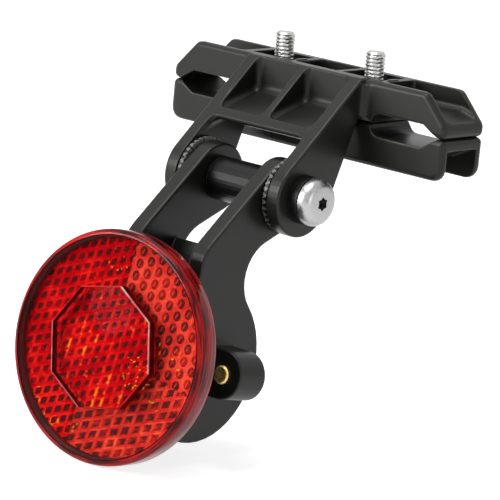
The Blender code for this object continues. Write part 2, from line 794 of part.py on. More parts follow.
def plate_outline():
    """A side plate: a round end at the pivot, a straight front edge, a hollow waist and a round base."""
    front_start = around((0, 0), END_RADIUS, pi / 2 + PLATE_SLOPE)
    front_direction = (cos(PLATE_SLOPE), sin(PLATE_SLOPE))
    wall = from_stem(ARM_SETBACK, 0)
    shoulder = meeting(front_start, front_direction, wall, reflector_up)
    lean = acos((END_RADIUS + WAIST_RADIUS) / waist.length)
    tangent = atan2(waist.y, waist.x) + lean
    bottom = base_meets(ARM_SETBACK, BASE_RADIUS)
    outline = arc((0, 0), END_RADIUS, tangent, pi / 2 + PLATE_SLOPE, PLATE_END_STEPS)
    outline += corner(shoulder, front_start, from_stem(ARM_SETBACK, 0), PLATE_SHOULDER_RADIUS)
    outline += arc(base, BASE_RADIUS, bottom, base_angle, BASE_STEPS)
    outline += arc(waist, WAIST_RADIUS, base_angle - pi, tangent - pi, WAIST_STEPS)[1:]
    return outline


def web_outline():
    """The web that joins the plates along their back edge, from the waist round to the foot of the wall."""
    inner = WEB_INSET + WEB_THICKNESS
    waist_start = WEB_TOP_ANGLE
    waist_end = base_angle + pi
    bottom = base_meets(ARM_SETBACK + WEB_INSET, BASE_RADIUS - WEB_INSET)
    outside = arc(waist, WAIST_RADIUS + WEB_INSET, waist_start, waist_end, WAIST_STEPS)
    outside += arc(base, BASE_RADIUS - WEB_INSET, base_angle, bottom, BASE_STEPS)[1:]
    inside = arc(base, BASE_RADIUS - inner, bottom, base_angle, BASE_STEPS)
    inside += arc(waist, WAIST_RADIUS + inner, waist_end, waist_start, WAIST_STEPS)[1:]
    return outside + inside


def make_swing_arm():
    middle = (PLATE_INNER + plate_outer) / 2
    arm = extruded("swing_arm", plate_outline(), PLATE_THICKNESS, (middle, 0, 0), YZ_OUTLINE, swing)
    rounded(arm, PLATE_ROUNDING)
    left = extruded("left_plate", plate_outline(), PLATE_THICKNESS, (-middle, 0, 0), YZ_OUTLINE, swing)
    join(arm, rounded(left, PLATE_ROUNDING))
    join(arm, extruded("back_web", web_outline(), 2 * middle, (0, 0, 0), YZ_OUTLINE, swing))
    wall_start = ARM_SETBACK + WEB_INSET
    wall_foot = -BASE_RADIUS + WEB_INSET + INSIDE
    wall = block(
        "front_wall",
        (2 * middle - GAP, WALL_TOP - wall_foot, WEB_THICKNESS),
        (0, -(WALL_TOP + wall_foot) / 2, wall_start + WEB_THICKNESS / 2),
        parent=reflector,
    )
    join(arm, wall)
    root = plate_outer - INSIDE
    boss_outline = [(root, BOSS_DROP - BOSS_RADIUS)]
    boss_outline += arc((BOSS_X, BOSS_DROP), BOSS_RADIUS, -pi / 2, pi / 2, BOSS_STEPS)
    boss_outline += [(root, BOSS_DROP + BOSS_RADIUS)]
    boss_middle = BOSS_SETBACK + BOSS_LENGTH / 2
    boss = extruded("boss", boss_outline, BOSS_LENGTH, (0, 0, boss_middle), parent=reflector)
    join(arm, rounded(boss, BOSS_ROUNDING))

    past_plates = 2 * plate_outer + OVERSHOOT
    pivot_hole = cylinder("plate_hole", pivot_hole_radius, past_plates, (0, 0, 0), ALONG_X, swing)
    cut(arm, pivot_hole)
    stud_hole = cylinder(
        "stud_hole",
        STUD_RADIUS + HOLE_GAP,
        2 * WEB_THICKNESS,
        (0, 0, wall_start + WEB_THICKNESS / 2),
        parent=reflector,
    )
    cut(arm, stud_hole)
    access_middle = ARM_SETBACK + BASE_RADIUS * 3 / 2
    access_hole = cylinder(
        "access_hole", ACCESS_HOLE_RADIUS, BASE_RADIUS, (0, 0, access_middle), parent=reflector
    )
    cut(arm, access_hole)
    sink = cylinder(
        "screw_sink",
        BOSS_SCREW_HEAD_RADIUS + GAP,
        2 * BOSS_SINK_DEPTH,
        (BOSS_X, BOSS_DROP, BOSS_SETBACK),
        parent=reflector,
    )
    cut(arm, sink)
    screw_depth = BOSS_SINK_DEPTH + BOSS_SCREW_LENGTH + GAP
    screw_hole = cylinder(
        "screw_hole",
        BOSS_SCREW_RADIUS + HOLE_GAP,
        2 * screw_depth,
        (BOSS_X, BOSS_DROP, BOSS_SETBACK),
        parent=reflector,
    )
    cut(arm, screw_hole)
    finish(arm, new_material("arm_black", (0.04, 0.04, 0.037), 0.5))


def make_boss_screw():
    head_seat = BOSS_SETBACK + BOSS_SINK_DEPTH - GAP
    head_front = head_seat - BOSS_SCREW_HEAD_HEIGHT
    tip = head_seat + BOSS_SCREW_LENGTH
    profile = [
        (0, tip),
        (BOSS_SCREW_RADIUS, tip),
        (BOSS_SCREW_RADIUS, head_seat),
        (BOSS_SCREW_HEAD_RADIUS, head_seat),
        (BOSS_SCREW_HEAD_RADIUS, head_front + GAP),
        (BOSS_SCREW_HEAD_RADIUS - GAP, head_front),
        (0, head_front),
    ]
    screw = turned("boss_screw", profile, (BOSS_X, BOSS_DROP, 0), parent=reflector, steps=BOSS_SCREW_STEPS)
    finish(screw, new_material("screw_brass", (0.72, 0.52, 0.2), 0.3, 1))


def prism_plate(name, reach, face):
    """A plate with rows of low cube corners on its back, which throw light back the way it came.

    The corners stand on a triangular grid, whose points are peak, middle and valley in turn. Each of the
    three faces round a peak runs down past two middle points to a valley. The plate's front is buried in
    what it stands on, and face is that piece's back.
    """
    spacing = PRISM_PITCH / sqrt(3)
    along = Vector((cos(PRISM_TURN), sin(PRISM_TURN))) * spacing
    aslant = Vector((cos(PRISM_TURN + pi / 3), sin(PRISM_TURN + pi / 3))) * spacing
    ring = [(0, 1), (1, 0), (1, -1), (0, -1), (-1, 0), (-1, 1)]
    count = int(2 * reach / spacing)
    mesh = bpy.data.meshes.new(name)
    bm = bmesh.new()
    points = {}

    def point(i, j):
        if (i, j) not in points:
            height = face + PRISM_ROOT + PRISM_HEIGHT * ((i - j) % 3) / 2
            points[i, j] = bm.verts.new((*(along * i + aslant * j), height))
        return points[i, j]

    for i in range(-count, count + 1):
        for j in range(-count, count + 1):
            if (i - j) % 3 != 2 or (along * i + aslant * j).length > reach + PRISM_PITCH:
                continue
            for k in (0, 2, 4):
                steps = [ring[k], ring[k + 1], ring[(k + 2) % 6]]
                bm.faces.new([point(i, j)] + [point(i + a, j + b) for a, b in steps])
    border = [edge for edge in bm.edges if edge.is_boundary]
    skirt = bmesh.ops.extrude_edge_only(bm, edges=border)["geom"]
    for item in skirt:
        if isinstance(item, bmesh.types.BMVert):
            item.co.z = face - INSIDE
    foot = [item for item in skirt if isinstance(item, bmesh.types.BMEdge) and item.is_boundary]
    bmesh.ops.contextual_create(bm, geom=foot)
    bmesh.ops.recalc_face_normals(bm, faces=bm.faces)
    bm.to_mesh(mesh)
    bm.free()
    return place(name, mesh, parent=lens_turn)


def add_prisms(lens):
    """The octagon's hollow back, and the prisms round it and inside it."""
    pocket_floor = OCTAGON_FACE - OCTAGON_HEIGHT
    pocket_across = OCTAGON_ACROSS - 2 * OCTAGON_WALL

    def eight_sided(name, across, start, end):
        return cylinder(
            name,
            across_corners(across, 8),
            end - start,
            (0, 0, (start + end) / 2),
            rotation=(0, 0, pi / 8),
            parent=lens_turn,
            sides=8,
        )

    past_prisms = LENS_THICKNESS + PRISM_HEIGHT + OVERSHOOT
    cut(lens, eight_sided("octagon_pocket", pocket_across, pocket_floor, past_prisms))

    field_radius = LENS_INNER_RADIUS - PRISM_MARGIN
    field = prism_plate("prism_field", field_radius, LENS_THICKNESS)
    disc = cylinder(
        "field_disc", field_radius, 4 * OVERSHOOT, (0, 0, LENS_THICKNESS), parent=lens_turn, sides=LENS_STEPS
    )
    combine(field, disc, "INTERSECT")
    cut(field, eight_sided("field_middle", OCTAGON_ACROSS + 2 * PRISM_MARGIN, -OVERSHOOT, past_prisms))
    join(lens, field)

    octagon_field = prism_plate("octagon_prisms", across_corners(pocket_across, 8), pocket_floor)
    trim = eight_sided("octagon_trim", pocket_across - 2 * PRISM_MARGIN, -2 * OVERSHOOT, past_prisms)
    combine(octagon_field, trim, "INTERSECT")
    join(lens, octagon_field)


def make_reflector():
    """The lens is a shallow cup with a raised octagon.

    Its back plate's disc is square to the lens, and its stem carries the stud square to the arm's wall.
    """
    profile = [
        (0, LENS_THICKNESS),
        (LENS_INNER_RADIUS, LENS_THICKNESS),
        (LENS_INNER_RADIUS, LENS_DEPTH),
        (LENS_BACK_RADIUS, LENS_DEPTH),
    ]
    edge = (LENS_RADIUS - LENS_EDGE_ROUNDING, LENS_EDGE_ROUNDING)
    profile += arc(edge, LENS_EDGE_ROUNDING, 0, -pi / 2, CORNER_STEPS)
    profile.append((0, 0))
    lens = turned("reflector_lens", profile, (0, 0, 0), parent=lens_turn, steps=LENS_STEPS)
    octagon = cylinder(
        "octagon",
        across_corners(OCTAGON_ACROSS, 8),
        OCTAGON_HEIGHT + LENS_THICKNESS / 2,
        (0, 0, (LENS_THICKNESS / 2 - OCTAGON_HEIGHT) / 2),
        rotation=(0, 0, pi / 8),
        parent=lens_turn,
        sides=8,
    )
    join(lens, octagon)
    add_prisms(lens)
    finish(lens, new_material("lens_red", (0.7, 0.02, 0.02), 0.1))

    plate_front = LENS_DEPTH - BACK_PLATE_THICKNESS
    plate_radius = LENS_INNER_RADIUS - GAP
    plate_setback = AIM_SETBACK - LENS_STANDOFF + plate_front
    stem_start = plate_setback + BACK_PLATE_THICKNESS / 2
    stem_end = ARM_SETBACK + WEB_INSET - GAP
    head_front = plate_setback + GAP
    head_back = head_front + STUD_HEAD_HEIGHT
    bore = STUD_RADIUS + HOLE_GAP
    disc_middle = plate_front + BACK_PLATE_THICKNESS / 2
    back_plate = cylinder(
        "reflector_back_plate",
        plate_radius,
        BACK_PLATE_THICKNESS,
        (0, 0, disc_middle),
        parent=lens_axis,
        sides=LENS_STEPS,
    )
    stem_middle = (stem_start + stem_end) / 2
    stem = cylinder("stem", STEM_RADIUS, stem_end - stem_start, (0, 0, stem_middle), parent=reflector)
    join(back_plate, stem)
    head_pocket = cylinder(
        "stud_head_pocket",
        across_corners(STUD_HEAD_ACROSS + 2 * GAP),
        2 * (head_back + GAP - plate_setback),
        (0, 0, plate_setback),
        parent=reflector,
        sides=6,
    )
    cut(back_plate, head_pocket)
    cut(back_plate, cylinder("stem_bore", bore, 2 * stem_end, (0, 0, stem_end), parent=reflector))
    finish(back_plate, new_material("back_plate_black", (0.03, 0.03, 0.03), 0.6))

    steel = (0.7, 0.7, 0.7)
    washer_front = ARM_SETBACK + WEB_INSET + WEB_THICKNESS + GAP
    nut_front = washer_front + M5_WASHER_THICKNESS + GAP
    nut_back = nut_front + M5_NUT_HEIGHT
    stud_end = nut_back + STUD_PAST_NUT
    shank_profile = [
        (0, stud_end),
        (STUD_RADIUS - SCREW_TIP_CHAMFER, stud_end),
        (STUD_RADIUS, stud_end - SCREW_TIP_CHAMFER),
        (STUD_RADIUS, head_back - GAP),
        (0, head_back - GAP),
    ]
    stud = turned("reflector_stud", shank_profile, (0, 0, 0), parent=reflector)
    head = cylinder(
        "stud_head",
        across_corners(STUD_HEAD_ACROSS),
        STUD_HEAD_HEIGHT,
        (0, 0, (head_front + head_back) / 2),
        parent=reflector,
        sides=6,
    )
    join(stud, head)
    finish(stud, new_material("stud_steel", steel, 0.3, 1))
    washer = flat_ring(
        "reflector_washer",
        M5_WASHER_RADIUS,
        bore,
        M5_WASHER_THICKNESS,
        (0, 0, washer_front + M5_WASHER_THICKNESS / 2),
        parent=reflector,
    )
    finish(washer, new_material("reflector_washer_steel", steel, 0.3, 1))
    nut_middle = (nut_front + nut_back) / 2
    nut = chamfered_nut(
        "reflector_nut", M5_NUT_ACROSS, M5_NUT_HEIGHT, bore, (0, 0, nut_middle), parent=reflector
    )
    finish(nut, new_material("reflector_nut_steel", steel, 0.3, 1))


clear_scene()
parts = new_collection("saddle_rail_reflector")
tools = new_collection("cutters")
swing = new_empty("swing_axis", (0, PIVOT_Y, PIVOT_Z))
reflector = new_empty("stem_axis", (0, STEM_Y, STEM_Z), REFLECTOR_TURN, swing)
lens_place = (LENS_STANDOFF * sin(LENS_YAW), 0, AIM_SETBACK - LENS_STANDOFF * cos(LENS_YAW))
lens_axis = new_empty("lens_axis", lens_place, (0, -LENS_YAW, 0), reflector)
lens_turn = new_empty("lens_turn", (0, 0, 0), (0, 0, -LENS_ROLL), lens_axis)

make_upper_clamp_bracket()
make_lower_clamp_jaw()
make_clamp_fasteners()
make_pivot()
make_swing_arm()
make_boss_screw()
make_reflector()
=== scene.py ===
"""The looks of a red bicycle reflector on its saddle rail bracket.

Metres, +Z up. X runs across the bicycle and -Y points to the rear. The bolt that the arm swings about runs
along X, and the reflector faces -Y, tilted a little upwards.
"""

from math import atan2, cos, pi, radians, sin
import random

import bpy
from mathutils import Matrix, Vector


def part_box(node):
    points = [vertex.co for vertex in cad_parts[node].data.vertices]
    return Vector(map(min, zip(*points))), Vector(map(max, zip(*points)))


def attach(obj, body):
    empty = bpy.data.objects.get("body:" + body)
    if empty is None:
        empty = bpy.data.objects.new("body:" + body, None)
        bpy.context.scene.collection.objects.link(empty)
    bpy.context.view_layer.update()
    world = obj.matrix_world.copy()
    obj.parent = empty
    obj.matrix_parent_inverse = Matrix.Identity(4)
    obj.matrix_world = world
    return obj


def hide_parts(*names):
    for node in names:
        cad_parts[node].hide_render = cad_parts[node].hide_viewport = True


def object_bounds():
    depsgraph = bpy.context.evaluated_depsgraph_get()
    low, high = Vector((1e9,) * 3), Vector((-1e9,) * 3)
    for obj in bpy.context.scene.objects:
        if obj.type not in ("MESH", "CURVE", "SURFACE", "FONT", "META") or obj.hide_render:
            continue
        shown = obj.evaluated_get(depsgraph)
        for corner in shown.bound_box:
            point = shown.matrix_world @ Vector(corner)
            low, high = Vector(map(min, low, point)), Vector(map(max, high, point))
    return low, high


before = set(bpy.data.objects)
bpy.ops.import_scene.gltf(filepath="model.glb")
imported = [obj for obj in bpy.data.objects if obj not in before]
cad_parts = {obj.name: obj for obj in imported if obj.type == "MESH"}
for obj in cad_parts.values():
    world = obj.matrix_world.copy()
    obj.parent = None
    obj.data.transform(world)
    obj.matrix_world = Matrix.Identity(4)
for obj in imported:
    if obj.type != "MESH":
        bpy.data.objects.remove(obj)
cad_box = [list(corner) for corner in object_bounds()]

# The photograph's view, and a white floor that the object stands on with its lowest point. The lamps are
# large and soft, one above, one in front on the left and a weak one on the right. Each has its name, place,
# width in metres and power in watts.
CAMERA_PLACE = (0.46627, -0.55158, 0.11696)
CAMERA_AXES = Matrix(((0.7361, -0.2046, 0.6452), (0.6704, 0.0882, -0.7368), (0.0939, 0.9749, 0.2021)))
CAMERA_LENS = 252
SENSOR_WIDTH = 36
FLOOR_SIZE = 4
FLOOR_GAP = 0.0002
FLOOR_GLOW = 0.8
SKY_LIGHT = 0.2
LAMPS = (
    ("lamp_above", (-0.1, -0.25, 0.75), 0.6, 4.5),
    ("lamp_front_left", (-0.45, -0.85, 0.3), 0.5, 7.0),
    ("lamp_right", (0.9, -0.1, 0.1), 0.4, 0.8),
)
LAMPS_AIM = Vector((0, -0.03, -0.02))


def new_object(name, data):
    piece = bpy.data.objects.new(name, data)
    bpy.context.scene.collection.objects.link(piece)
    return piece


camera_data = bpy.data.cameras.new("camera")
camera_data.sensor_width = SENSOR_WIDTH
camera_data.lens = CAMERA_LENS
camera_data.clip_start = 0.01
camera = new_object("camera", camera_data)
camera.matrix_world = Matrix.Translation(CAMERA_PLACE) @ CAMERA_AXES.to_4x4()
bpy.context.scene.camera = camera
bpy.context.scene.view_settings.view_transform = "Standard"


def deselect():
    if bpy.context.mode != "OBJECT":
        bpy.ops.object.mode_set(mode="OBJECT")
    bpy.ops.object.select_all(action="DESELECT")


def principled(material):
    return material.node_tree.nodes["Principled BSDF"]


def new_material(name, colour, roughness, **sockets):
    """A Principled material. Other sockets are given by name, with _ for a space."""
    material = bpy.data.materials.new(name)
    material.use_nodes = True
    shader = principled(material)
    shader.inputs["Base Color"].default_value = (*colour, 1)
    shader.inputs["Roughness"].default_value = roughness
    for key, value in sockets.items():
        shader.inputs[key.replace("_", " ")].default_value = value
    return material


def add_node(owner, kind, **settings):
    """A shader node in the tree of a material or of the world."""
    node = owner.node_tree.nodes.new(kind)
    for key, value in settings.items():
        setattr(node, key, value)
    return node


def link(owner, output, socket):
    owner.node_tree.links.new(output, socket)


def computed(owner, operation, first, second):
    """A Math node's result. Each of its two inputs is a number or another node's output."""
    node = add_node(owner, "ShaderNodeMath", operation=operation)
    for socket, value in zip(node.inputs, (first, second)):
        if isinstance(value, (int, float)):
            socket.default_value = value
        else:
            link(owner, value, socket)
    return node.outputs[0]


def remapped(owner, value, old_range, new_range):
    """A value brought from one range into another, and held inside it."""
    node = add_node(owner, "ShaderNodeMapRange")
    node.inputs["From Min"].default_value, node.inputs["From Max"].default_value = old_range
    node.inputs["To Min"].default_value, node.inputs["To Max"].default_value = new_range
    link(owner, value, node.inputs["Value"])
    return node.outputs[0]


deselect()
bpy.ops.mesh.primitive_plane_add(size=FLOOR_SIZE, location=(0, 0, cad_box[0][2] - FLOOR_GAP))
floor = bpy.context.object
floor.name = "floor"
floor_white = new_material("floor_white", (0.8, 0.8, 0.8), 0.9, Specular_IOR_Level=0.0)
floor_shader = principled(floor_white)
floor_shader.inputs["Emission Color"].default_value = (1, 1, 1, 1)
floor_rays = add_node(floor_white, "ShaderNodeLightPath").outputs
floor_seen = computed(floor_white, "MAXIMUM", floor_rays["Is Camera Ray"], floor_rays["Is Glossy Ray"])
floor_glow = computed(floor_white, "MULTIPLY", floor_seen, FLOOR_GLOW)
link(floor_white, floor_glow, floor_shader.inputs["Emission Strength"])
floor.data.materials.append(floor_white)

world = bpy.data.worlds.new("studio")
bpy.context.scene.world = world
world.use_nodes = True
sky = world.node_tree.nodes["Background"]
sky_rays = add_node(world, "ShaderNodeLightPath").outputs
sky_seen = computed(world, "MAXIMUM", sky_rays["Is Camera Ray"], sky_rays["Is Glossy Ray"])
sky_through = computed(world, "MAXIMUM", sky_seen, sky_rays["Is Transmission Ray"])
link(world, remapped(world, sky_through, (0, 1), (SKY_LIGHT, 1)), sky.inputs["Strength"])
sky.inputs["Color"].default_value = (1, 1, 1, 1)

for lamp_name, place, size, power in LAMPS:
    lamp_data = bpy.data.lights.new(lamp_name, "AREA")
    lamp_data.shape = "DISK"
    lamp_data.size = size
    lamp_data.energy = power
    lamp = new_object(lamp_name, lamp_data)
    lamp.location = place
    lamp.rotation_euler = (LAMPS_AIM - Vector(place)).to_track_quat("-Z", "Y").to_euler()

# The upper half of the clamp, with both arms and the ribbed tray, is one black moulding of glass-filled
# nylon. Its edges are softly rounded by the mould, and its faces are spark eroded to a fine matt grain.
MOULD_VOXEL = 0.0002
MOULD_SMOOTHING = 1
MOULD_KEEP = 0.3
PARTING_PLANE = 0.00015
PARTING_CLOSED = 0.00002
PAD_PLACES = ((-0.00625, -0.0015, 0.0088), (0.0189, -0.0015, 0.0088))
PAD_SIZE = (0.00045, 0.0017, 0.0005)
# Width of the painted highlight along the nylon's edges.
EDGE_HIGHLIGHT_RADIUS = 0.0003
BRACKET_BLACK = (0.011, 0.011, 0.0092)


def pick(piece, *others):
    """Selects these objects and no more, with the first one active."""
    deselect()
    for one in (piece, *others):
        one.select_set(True)
    bpy.context.view_layer.objects.active = piece


def apply_modifier(piece, kind, **settings):
    modifier = piece.modifiers.new(kind.lower(), kind)
    for key, value in settings.items():
        setattr(modifier, key, value)
    bpy.context.view_layer.objects.active = piece
    bpy.ops.object.modifier_apply(modifier=modifier.name)


def copy_node(node_name, name):
    """A merged copy of a node's mesh as an object of its own."""
    piece = new_object(name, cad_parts[node_name].data.copy())
    piece.data.materials.clear()
    pick(piece)
    bpy.ops.object.mode_set(mode="EDIT")
    bpy.ops.mesh.select_all(action="SELECT")
    bpy.ops.mesh.remove_doubles(threshold=0.000001)
    bpy.ops.mesh.normals_make_consistent(inside=False)
    bpy.ops.object.mode_set(mode="OBJECT")
    return piece


def soften(piece):
    """Rounds every edge and corner of a closed piece, as a mould does."""
    apply_modifier(piece, "REMESH", mode="VOXEL", voxel_size=MOULD_VOXEL)
    apply_modifier(piece, "SMOOTH", factor=0.5, iterations=MOULD_SMOOTHING)
    apply_modifier(piece, "DECIMATE", ratio=MOULD_KEEP)
    pick(piece)
    bpy.ops.object.shade_smooth()


def close_parting(piece):
    """The jaws nearly touch where they part, so that no light shows between them."""
    for vertex in piece.data.vertices:
        if abs(abs(vertex.co.z) - PARTING_PLANE) < 0.00001:
            vertex.co.z = PARTING_CLOSED if vertex.co.z > 0 else -PARTING_CLOSED


def noise_over(material, where, scale, detail=2):
    """A noise pattern over the given coordinates, between 0 and 1."""
    node = add_node(material, "ShaderNodeTexNoise")
    node.inputs["Scale"].default_value = scale
    node.inputs["Detail"].default_value = detail
    link(material, where, node.inputs["Vector"])
    return node.outputs["Fac"]


def blended(material, factor, first, second):
    """A mix of two colours, each of them a tuple or another node's output."""
    node = add_node(material, "ShaderNodeMix", data_type="RGBA")
    link(material, factor, node.inputs["Factor"])
    for socket, colour in (("A", first), ("B", second)):
        if isinstance(colour, tuple):
            node.inputs[socket].default_value = (*colour, 1)
        else:
            link(material, colour, node.inputs[socket])
    return node.outputs["Result"]


def times(colour, factor):
    return tuple(min(1, part * factor) for part in colour)


def black_nylon(name, colour, edge_highlight=(0.13, 0.13, 0.125)):
    """Matt black plastic with a fine grain, a little uneven in gloss, with a painted highlight along its
    edges.
    """
    material = new_material(name, colour, 0.35, Specular_IOR_Level=0.25)
    shader = principled(material)
    where = add_node(material, "ShaderNodeTexCoord").outputs["Object"]
    cloud = noise_over(material, where, 90, 3)
    link(material, remapped(material, cloud, (0, 1), (0.26, 0.42)), shader.inputs["Roughness"])
    shade = blended(material, cloud, times(colour, 0.8), times(colour, 1.25))
    # The edges, found with a Bevel node, are painted paler as a highlight.
    shape = add_node(material, "ShaderNodeNewGeometry")
    round_edge = add_node(material, "ShaderNodeBevel", samples=6)
    round_edge.inputs["Radius"].default_value = EDGE_HIGHLIGHT_RADIUS
    bend = add_node(material, "ShaderNodeVectorMath", operation="DISTANCE")
    link(material, shape.outputs["Normal"], bend.inputs[0])
    link(material, round_edge.outputs["Normal"], bend.inputs[1])
    edges = remapped(material, bend.outputs["Value"], (0.12, 0.5), (0, 1))
    link(material, blended(material, edges, shade, edge_highlight), shader.inputs["Base Color"])
    bump = add_node(material, "ShaderNodeBump")
    bump.inputs["Strength"].default_value = 0.2
    bump.inputs["Distance"].default_value = 0.00004
    link(material, noise_over(material, where, 5200), bump.inputs["Height"])
    link(material, bump.outputs["Normal"], shader.inputs["Normal"])
    return material


bracket = copy_node("upper_clamp_bracket", "bracket")
close_parting(bracket)
soften(bracket)
for pad_place in PAD_PLACES:
    deselect()
    bpy.ops.mesh.primitive_cylinder_add(vertices=32, radius=1, depth=1, location=pad_place)
    pad = bpy.context.object
    pad.scale = PAD_SIZE
    bpy.ops.object.transform_apply(location=True, rotation=True, scale=True)
    apply_modifier(bracket, "BOOLEAN", operation="UNION", solver="EXACT", object=pad)
    bpy.data.objects.remove(pad)
bracket.data.materials.append(black_nylon("bracket_nylon", BRACKET_BLACK))
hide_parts("upper_clamp_bracket")
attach(bracket, "clamp_bracket")

# The lower half of the clamp is a channel of the same nylon, open below, where the screw heads sit. It is
# moulded on its own, and its nylon is given a slightly darker colour.
jaw = copy_node("lower_clamp_jaw", "jaw")
close_parting(jaw)
soften(jaw)
jaw.data.materials.append(black_nylon("jaw_nylon", (0.01, 0.01, 0.0084)))
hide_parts("lower_clamp_jaw")
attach(jaw, "lower_jaw")

# Two M4 screws with rolled threads draw the jaws together. They are zinc plated steel, go in from below
# and stand out above the bar by about 5 mm.
THREAD_SIDES = 28
ROWS_PER_TURN = 8
THREAD_PITCH = 0.0008
THREAD_FLANKS = 1.9
THREAD_TIP = 0.0004
SHARP_ANGLE = radians(35)
SCREW_RADIUS = 0.00205
SCREW_THREAD_DEPTH = 0.00036
SCREW_HEAD_HEIGHT = 0.0028
SCREW_SOCKET_RADIUS = 0.00144
SCREW_SOCKET_DEPTH = 0.0016


def plated_steel(name, colour, roughness=0.28):
    """Bright plated steel, a little uneven in gloss and tone, with painted shade in its hollows, such as the
    thread's roots.
    """
    material = new_material(name, colour, roughness, Metallic=1.0)
    shader = principled(material)
    where = add_node(material, "ShaderNodeTexCoord").outputs["Object"]
    spots = noise_over(material, where, 1400, 4)
    gloss = remapped(material, spots, (0.3, 0.7), (roughness - 0.08, roughness + 0.15))
    link(material, gloss, shader.inputs["Roughness"])
    shade = blended(material, spots, times(colour, 0.85), times(colour, 1.12))
    shape = add_node(material, "ShaderNodeNewGeometry")
    # Hollows such as the thread's roots are painted dark, as shade.
    root_shade = remapped(material, shape.outputs["Pointiness"], (0.4, 0.5), (0, 1))
    link(material, blended(material, root_shade, times(colour, 0.12), shade), shader.inputs["Base Color"])
    return material


def threaded_bar(name, radius, depth, bottom, top):
    """A bar along Z with a screw thread of the given depth, its top end chamfered."""
    rows = round((top - bottom) / THREAD_PITCH * ROWS_PER_TURN)
    deselect()
    bpy.ops.mesh.primitive_cylinder_add(
        vertices=THREAD_SIDES, radius=radius, depth=top - bottom, location=(0, 0, (top + bottom) / 2)
    )
    bar = bpy.context.object
    bar.name = name
    bpy.ops.object.transform_apply(location=True, rotation=False, scale=False)
    bpy.ops.object.mode_set(mode="EDIT")
    bpy.ops.mesh.select_all(action="DESELECT")
    bpy.ops.object.mode_set(mode="OBJECT")
    for edge in bar.data.edges:
        low, high = (bar.data.vertices[v].co.z for v in edge.vertices)
        edge.select = abs(high - low) > (top - bottom) / 2
    bpy.ops.object.mode_set(mode="EDIT")
    bpy.ops.mesh.select_mode(type="EDGE")
    bpy.ops.mesh.subdivide(number_cuts=rows - 1)
    bpy.ops.object.mode_set(mode="OBJECT")
    for vertex in bar.data.vertices:
        x, y, z = vertex.co
        turn = (z / THREAD_PITCH - atan2(y, x) / (2 * pi)) % 1
        crest = min(1, THREAD_FLANKS * abs(2 * turn - 1))
        room = min(1, max(0, (top - z) / THREAD_TIP))
        scale = min(radius - depth * (1 - crest), radius - THREAD_TIP * (1 - room)) / radius
        vertex.co.x *= scale
        vertex.co.y *= scale
    pick(bar)
    bpy.ops.object.shade_smooth_by_angle(angle=SHARP_ANGLE)
    return bar


screw_steel = plated_steel("screw_steel", (0.5, 0.5, 0.49))
for side, body in (("left", "screw_left"), ("right", "screw_right")):
    low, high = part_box(f"clamp_screw_{side}")
    middle = (low + high) / 2
    head_radius = (high.x - low.x) / 2
    head_top = low.z + SCREW_HEAD_HEIGHT
    shank = threaded_bar(f"screw_{side}", SCREW_RADIUS, SCREW_THREAD_DEPTH, head_top, high.z)
    deselect()
    bpy.ops.mesh.primitive_cylinder_add(
        vertices=48, radius=head_radius, depth=SCREW_HEAD_HEIGHT, location=(0, 0, (low.z + head_top) / 2)
    )
    head = bpy.context.object
    bpy.ops.object.transform_apply(location=True, rotation=False, scale=False)
    apply_modifier(head, "BEVEL", width=0.0003, segments=3, limit_method="ANGLE")
    bpy.ops.mesh.primitive_cylinder_add(
        vertices=6, radius=SCREW_SOCKET_RADIUS, depth=2 * SCREW_SOCKET_DEPTH, location=(0, 0, low.z)
    )
    socket = bpy.context.object
    apply_modifier(head, "BOOLEAN", operation="DIFFERENCE", solver="EXACT", object=socket)
    bpy.data.objects.remove(socket)
    pick(shank, head)
    bpy.ops.object.join()
    bpy.ops.object.shade_smooth_by_angle(angle=SHARP_ANGLE)
    shank.data.transform(Matrix.Translation((middle.x, middle.y, 0)))
    shank.data.materials.append(screw_steel)
    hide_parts(f"clamp_screw_{side}")
    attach(shank, body)

# The nuts, the washers and the reflector's hidden stud are plain pressed and turned parts of plated steel,
# so their own shapes stay.
hardware_steel = plated_steel("hardware_steel", (0.55, 0.55, 0.54), 0.34)


def dress(node_name, material):
    """Gives one of the solids its finish."""
    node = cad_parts[node_name]
    node.data.materials.clear()
    node.data.materials.append(material)


for node_name in (
    "clamp_nut_left",
    "clamp_nut_right",
    "clamp_washer_left",
    "clamp_washer_right",
    "pivot_nut",
    "reflector_stud",
    "reflector_washer",
    "reflector_nut",
):
    dress(node_name, hardware_steel)

# The spacer under the bolt's head, the sleeve between the prongs and the reflector's back plate are turned
# or moulded in acetal, a smoother and blacker plastic. Their own shapes stay.
ACETAL_BLACK = (0.003, 0.003, 0.003)
# The acetal's edges get a fainter painted highlight.
acetal = black_nylon("acetal", ACETAL_BLACK, (0.06, 0.06, 0.06))
for node_name in ("pivot_washer", "pivot_sleeve", "reflector_back_plate"):
    dress(node_name, acetal)

# The toothed washers are acetal too, and hold the arm's tilt. Their teeth are painted round their rims as a
# zigzag, whose flanks carry a painted highlight.
TEETH = 36
TOOTH_SHARE = 0.75
TOOTH_FLANK_HIGHLIGHT = (0.16, 0.16, 0.155)
low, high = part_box("toothed_washer_right")
toothed = new_material("toothed_acetal", ACETAL_BLACK, 0.35, Specular_IOR_Level=0.25)
where = add_node(toothed, "ShaderNodeTexCoord")
parts = add_node(toothed, "ShaderNodeSeparateXYZ")
link(toothed, where.outputs["Object"], parts.inputs[0])
forward = computed(toothed, "SUBTRACT", parts.outputs["Y"], (low.y + high.y) / 2)
upward = computed(toothed, "SUBTRACT", parts.outputs["Z"], (low.z + high.z) / 2)
turn = computed(toothed, "ARCTAN2", upward, forward)
zigzag = computed(toothed, "PINGPONG", turn, pi / TEETH)
sideways = add_node(toothed, "ShaderNodeMath", operation="ABSOLUTE")
link(toothed, parts.outputs["X"], sideways.inputs[0])
height = remapped(toothed, sideways.outputs[0], (low.x, high.x), (0, pi / TEETH * TOOTH_SHARE))
above = computed(toothed, "GREATER_THAN", zigzag, height)
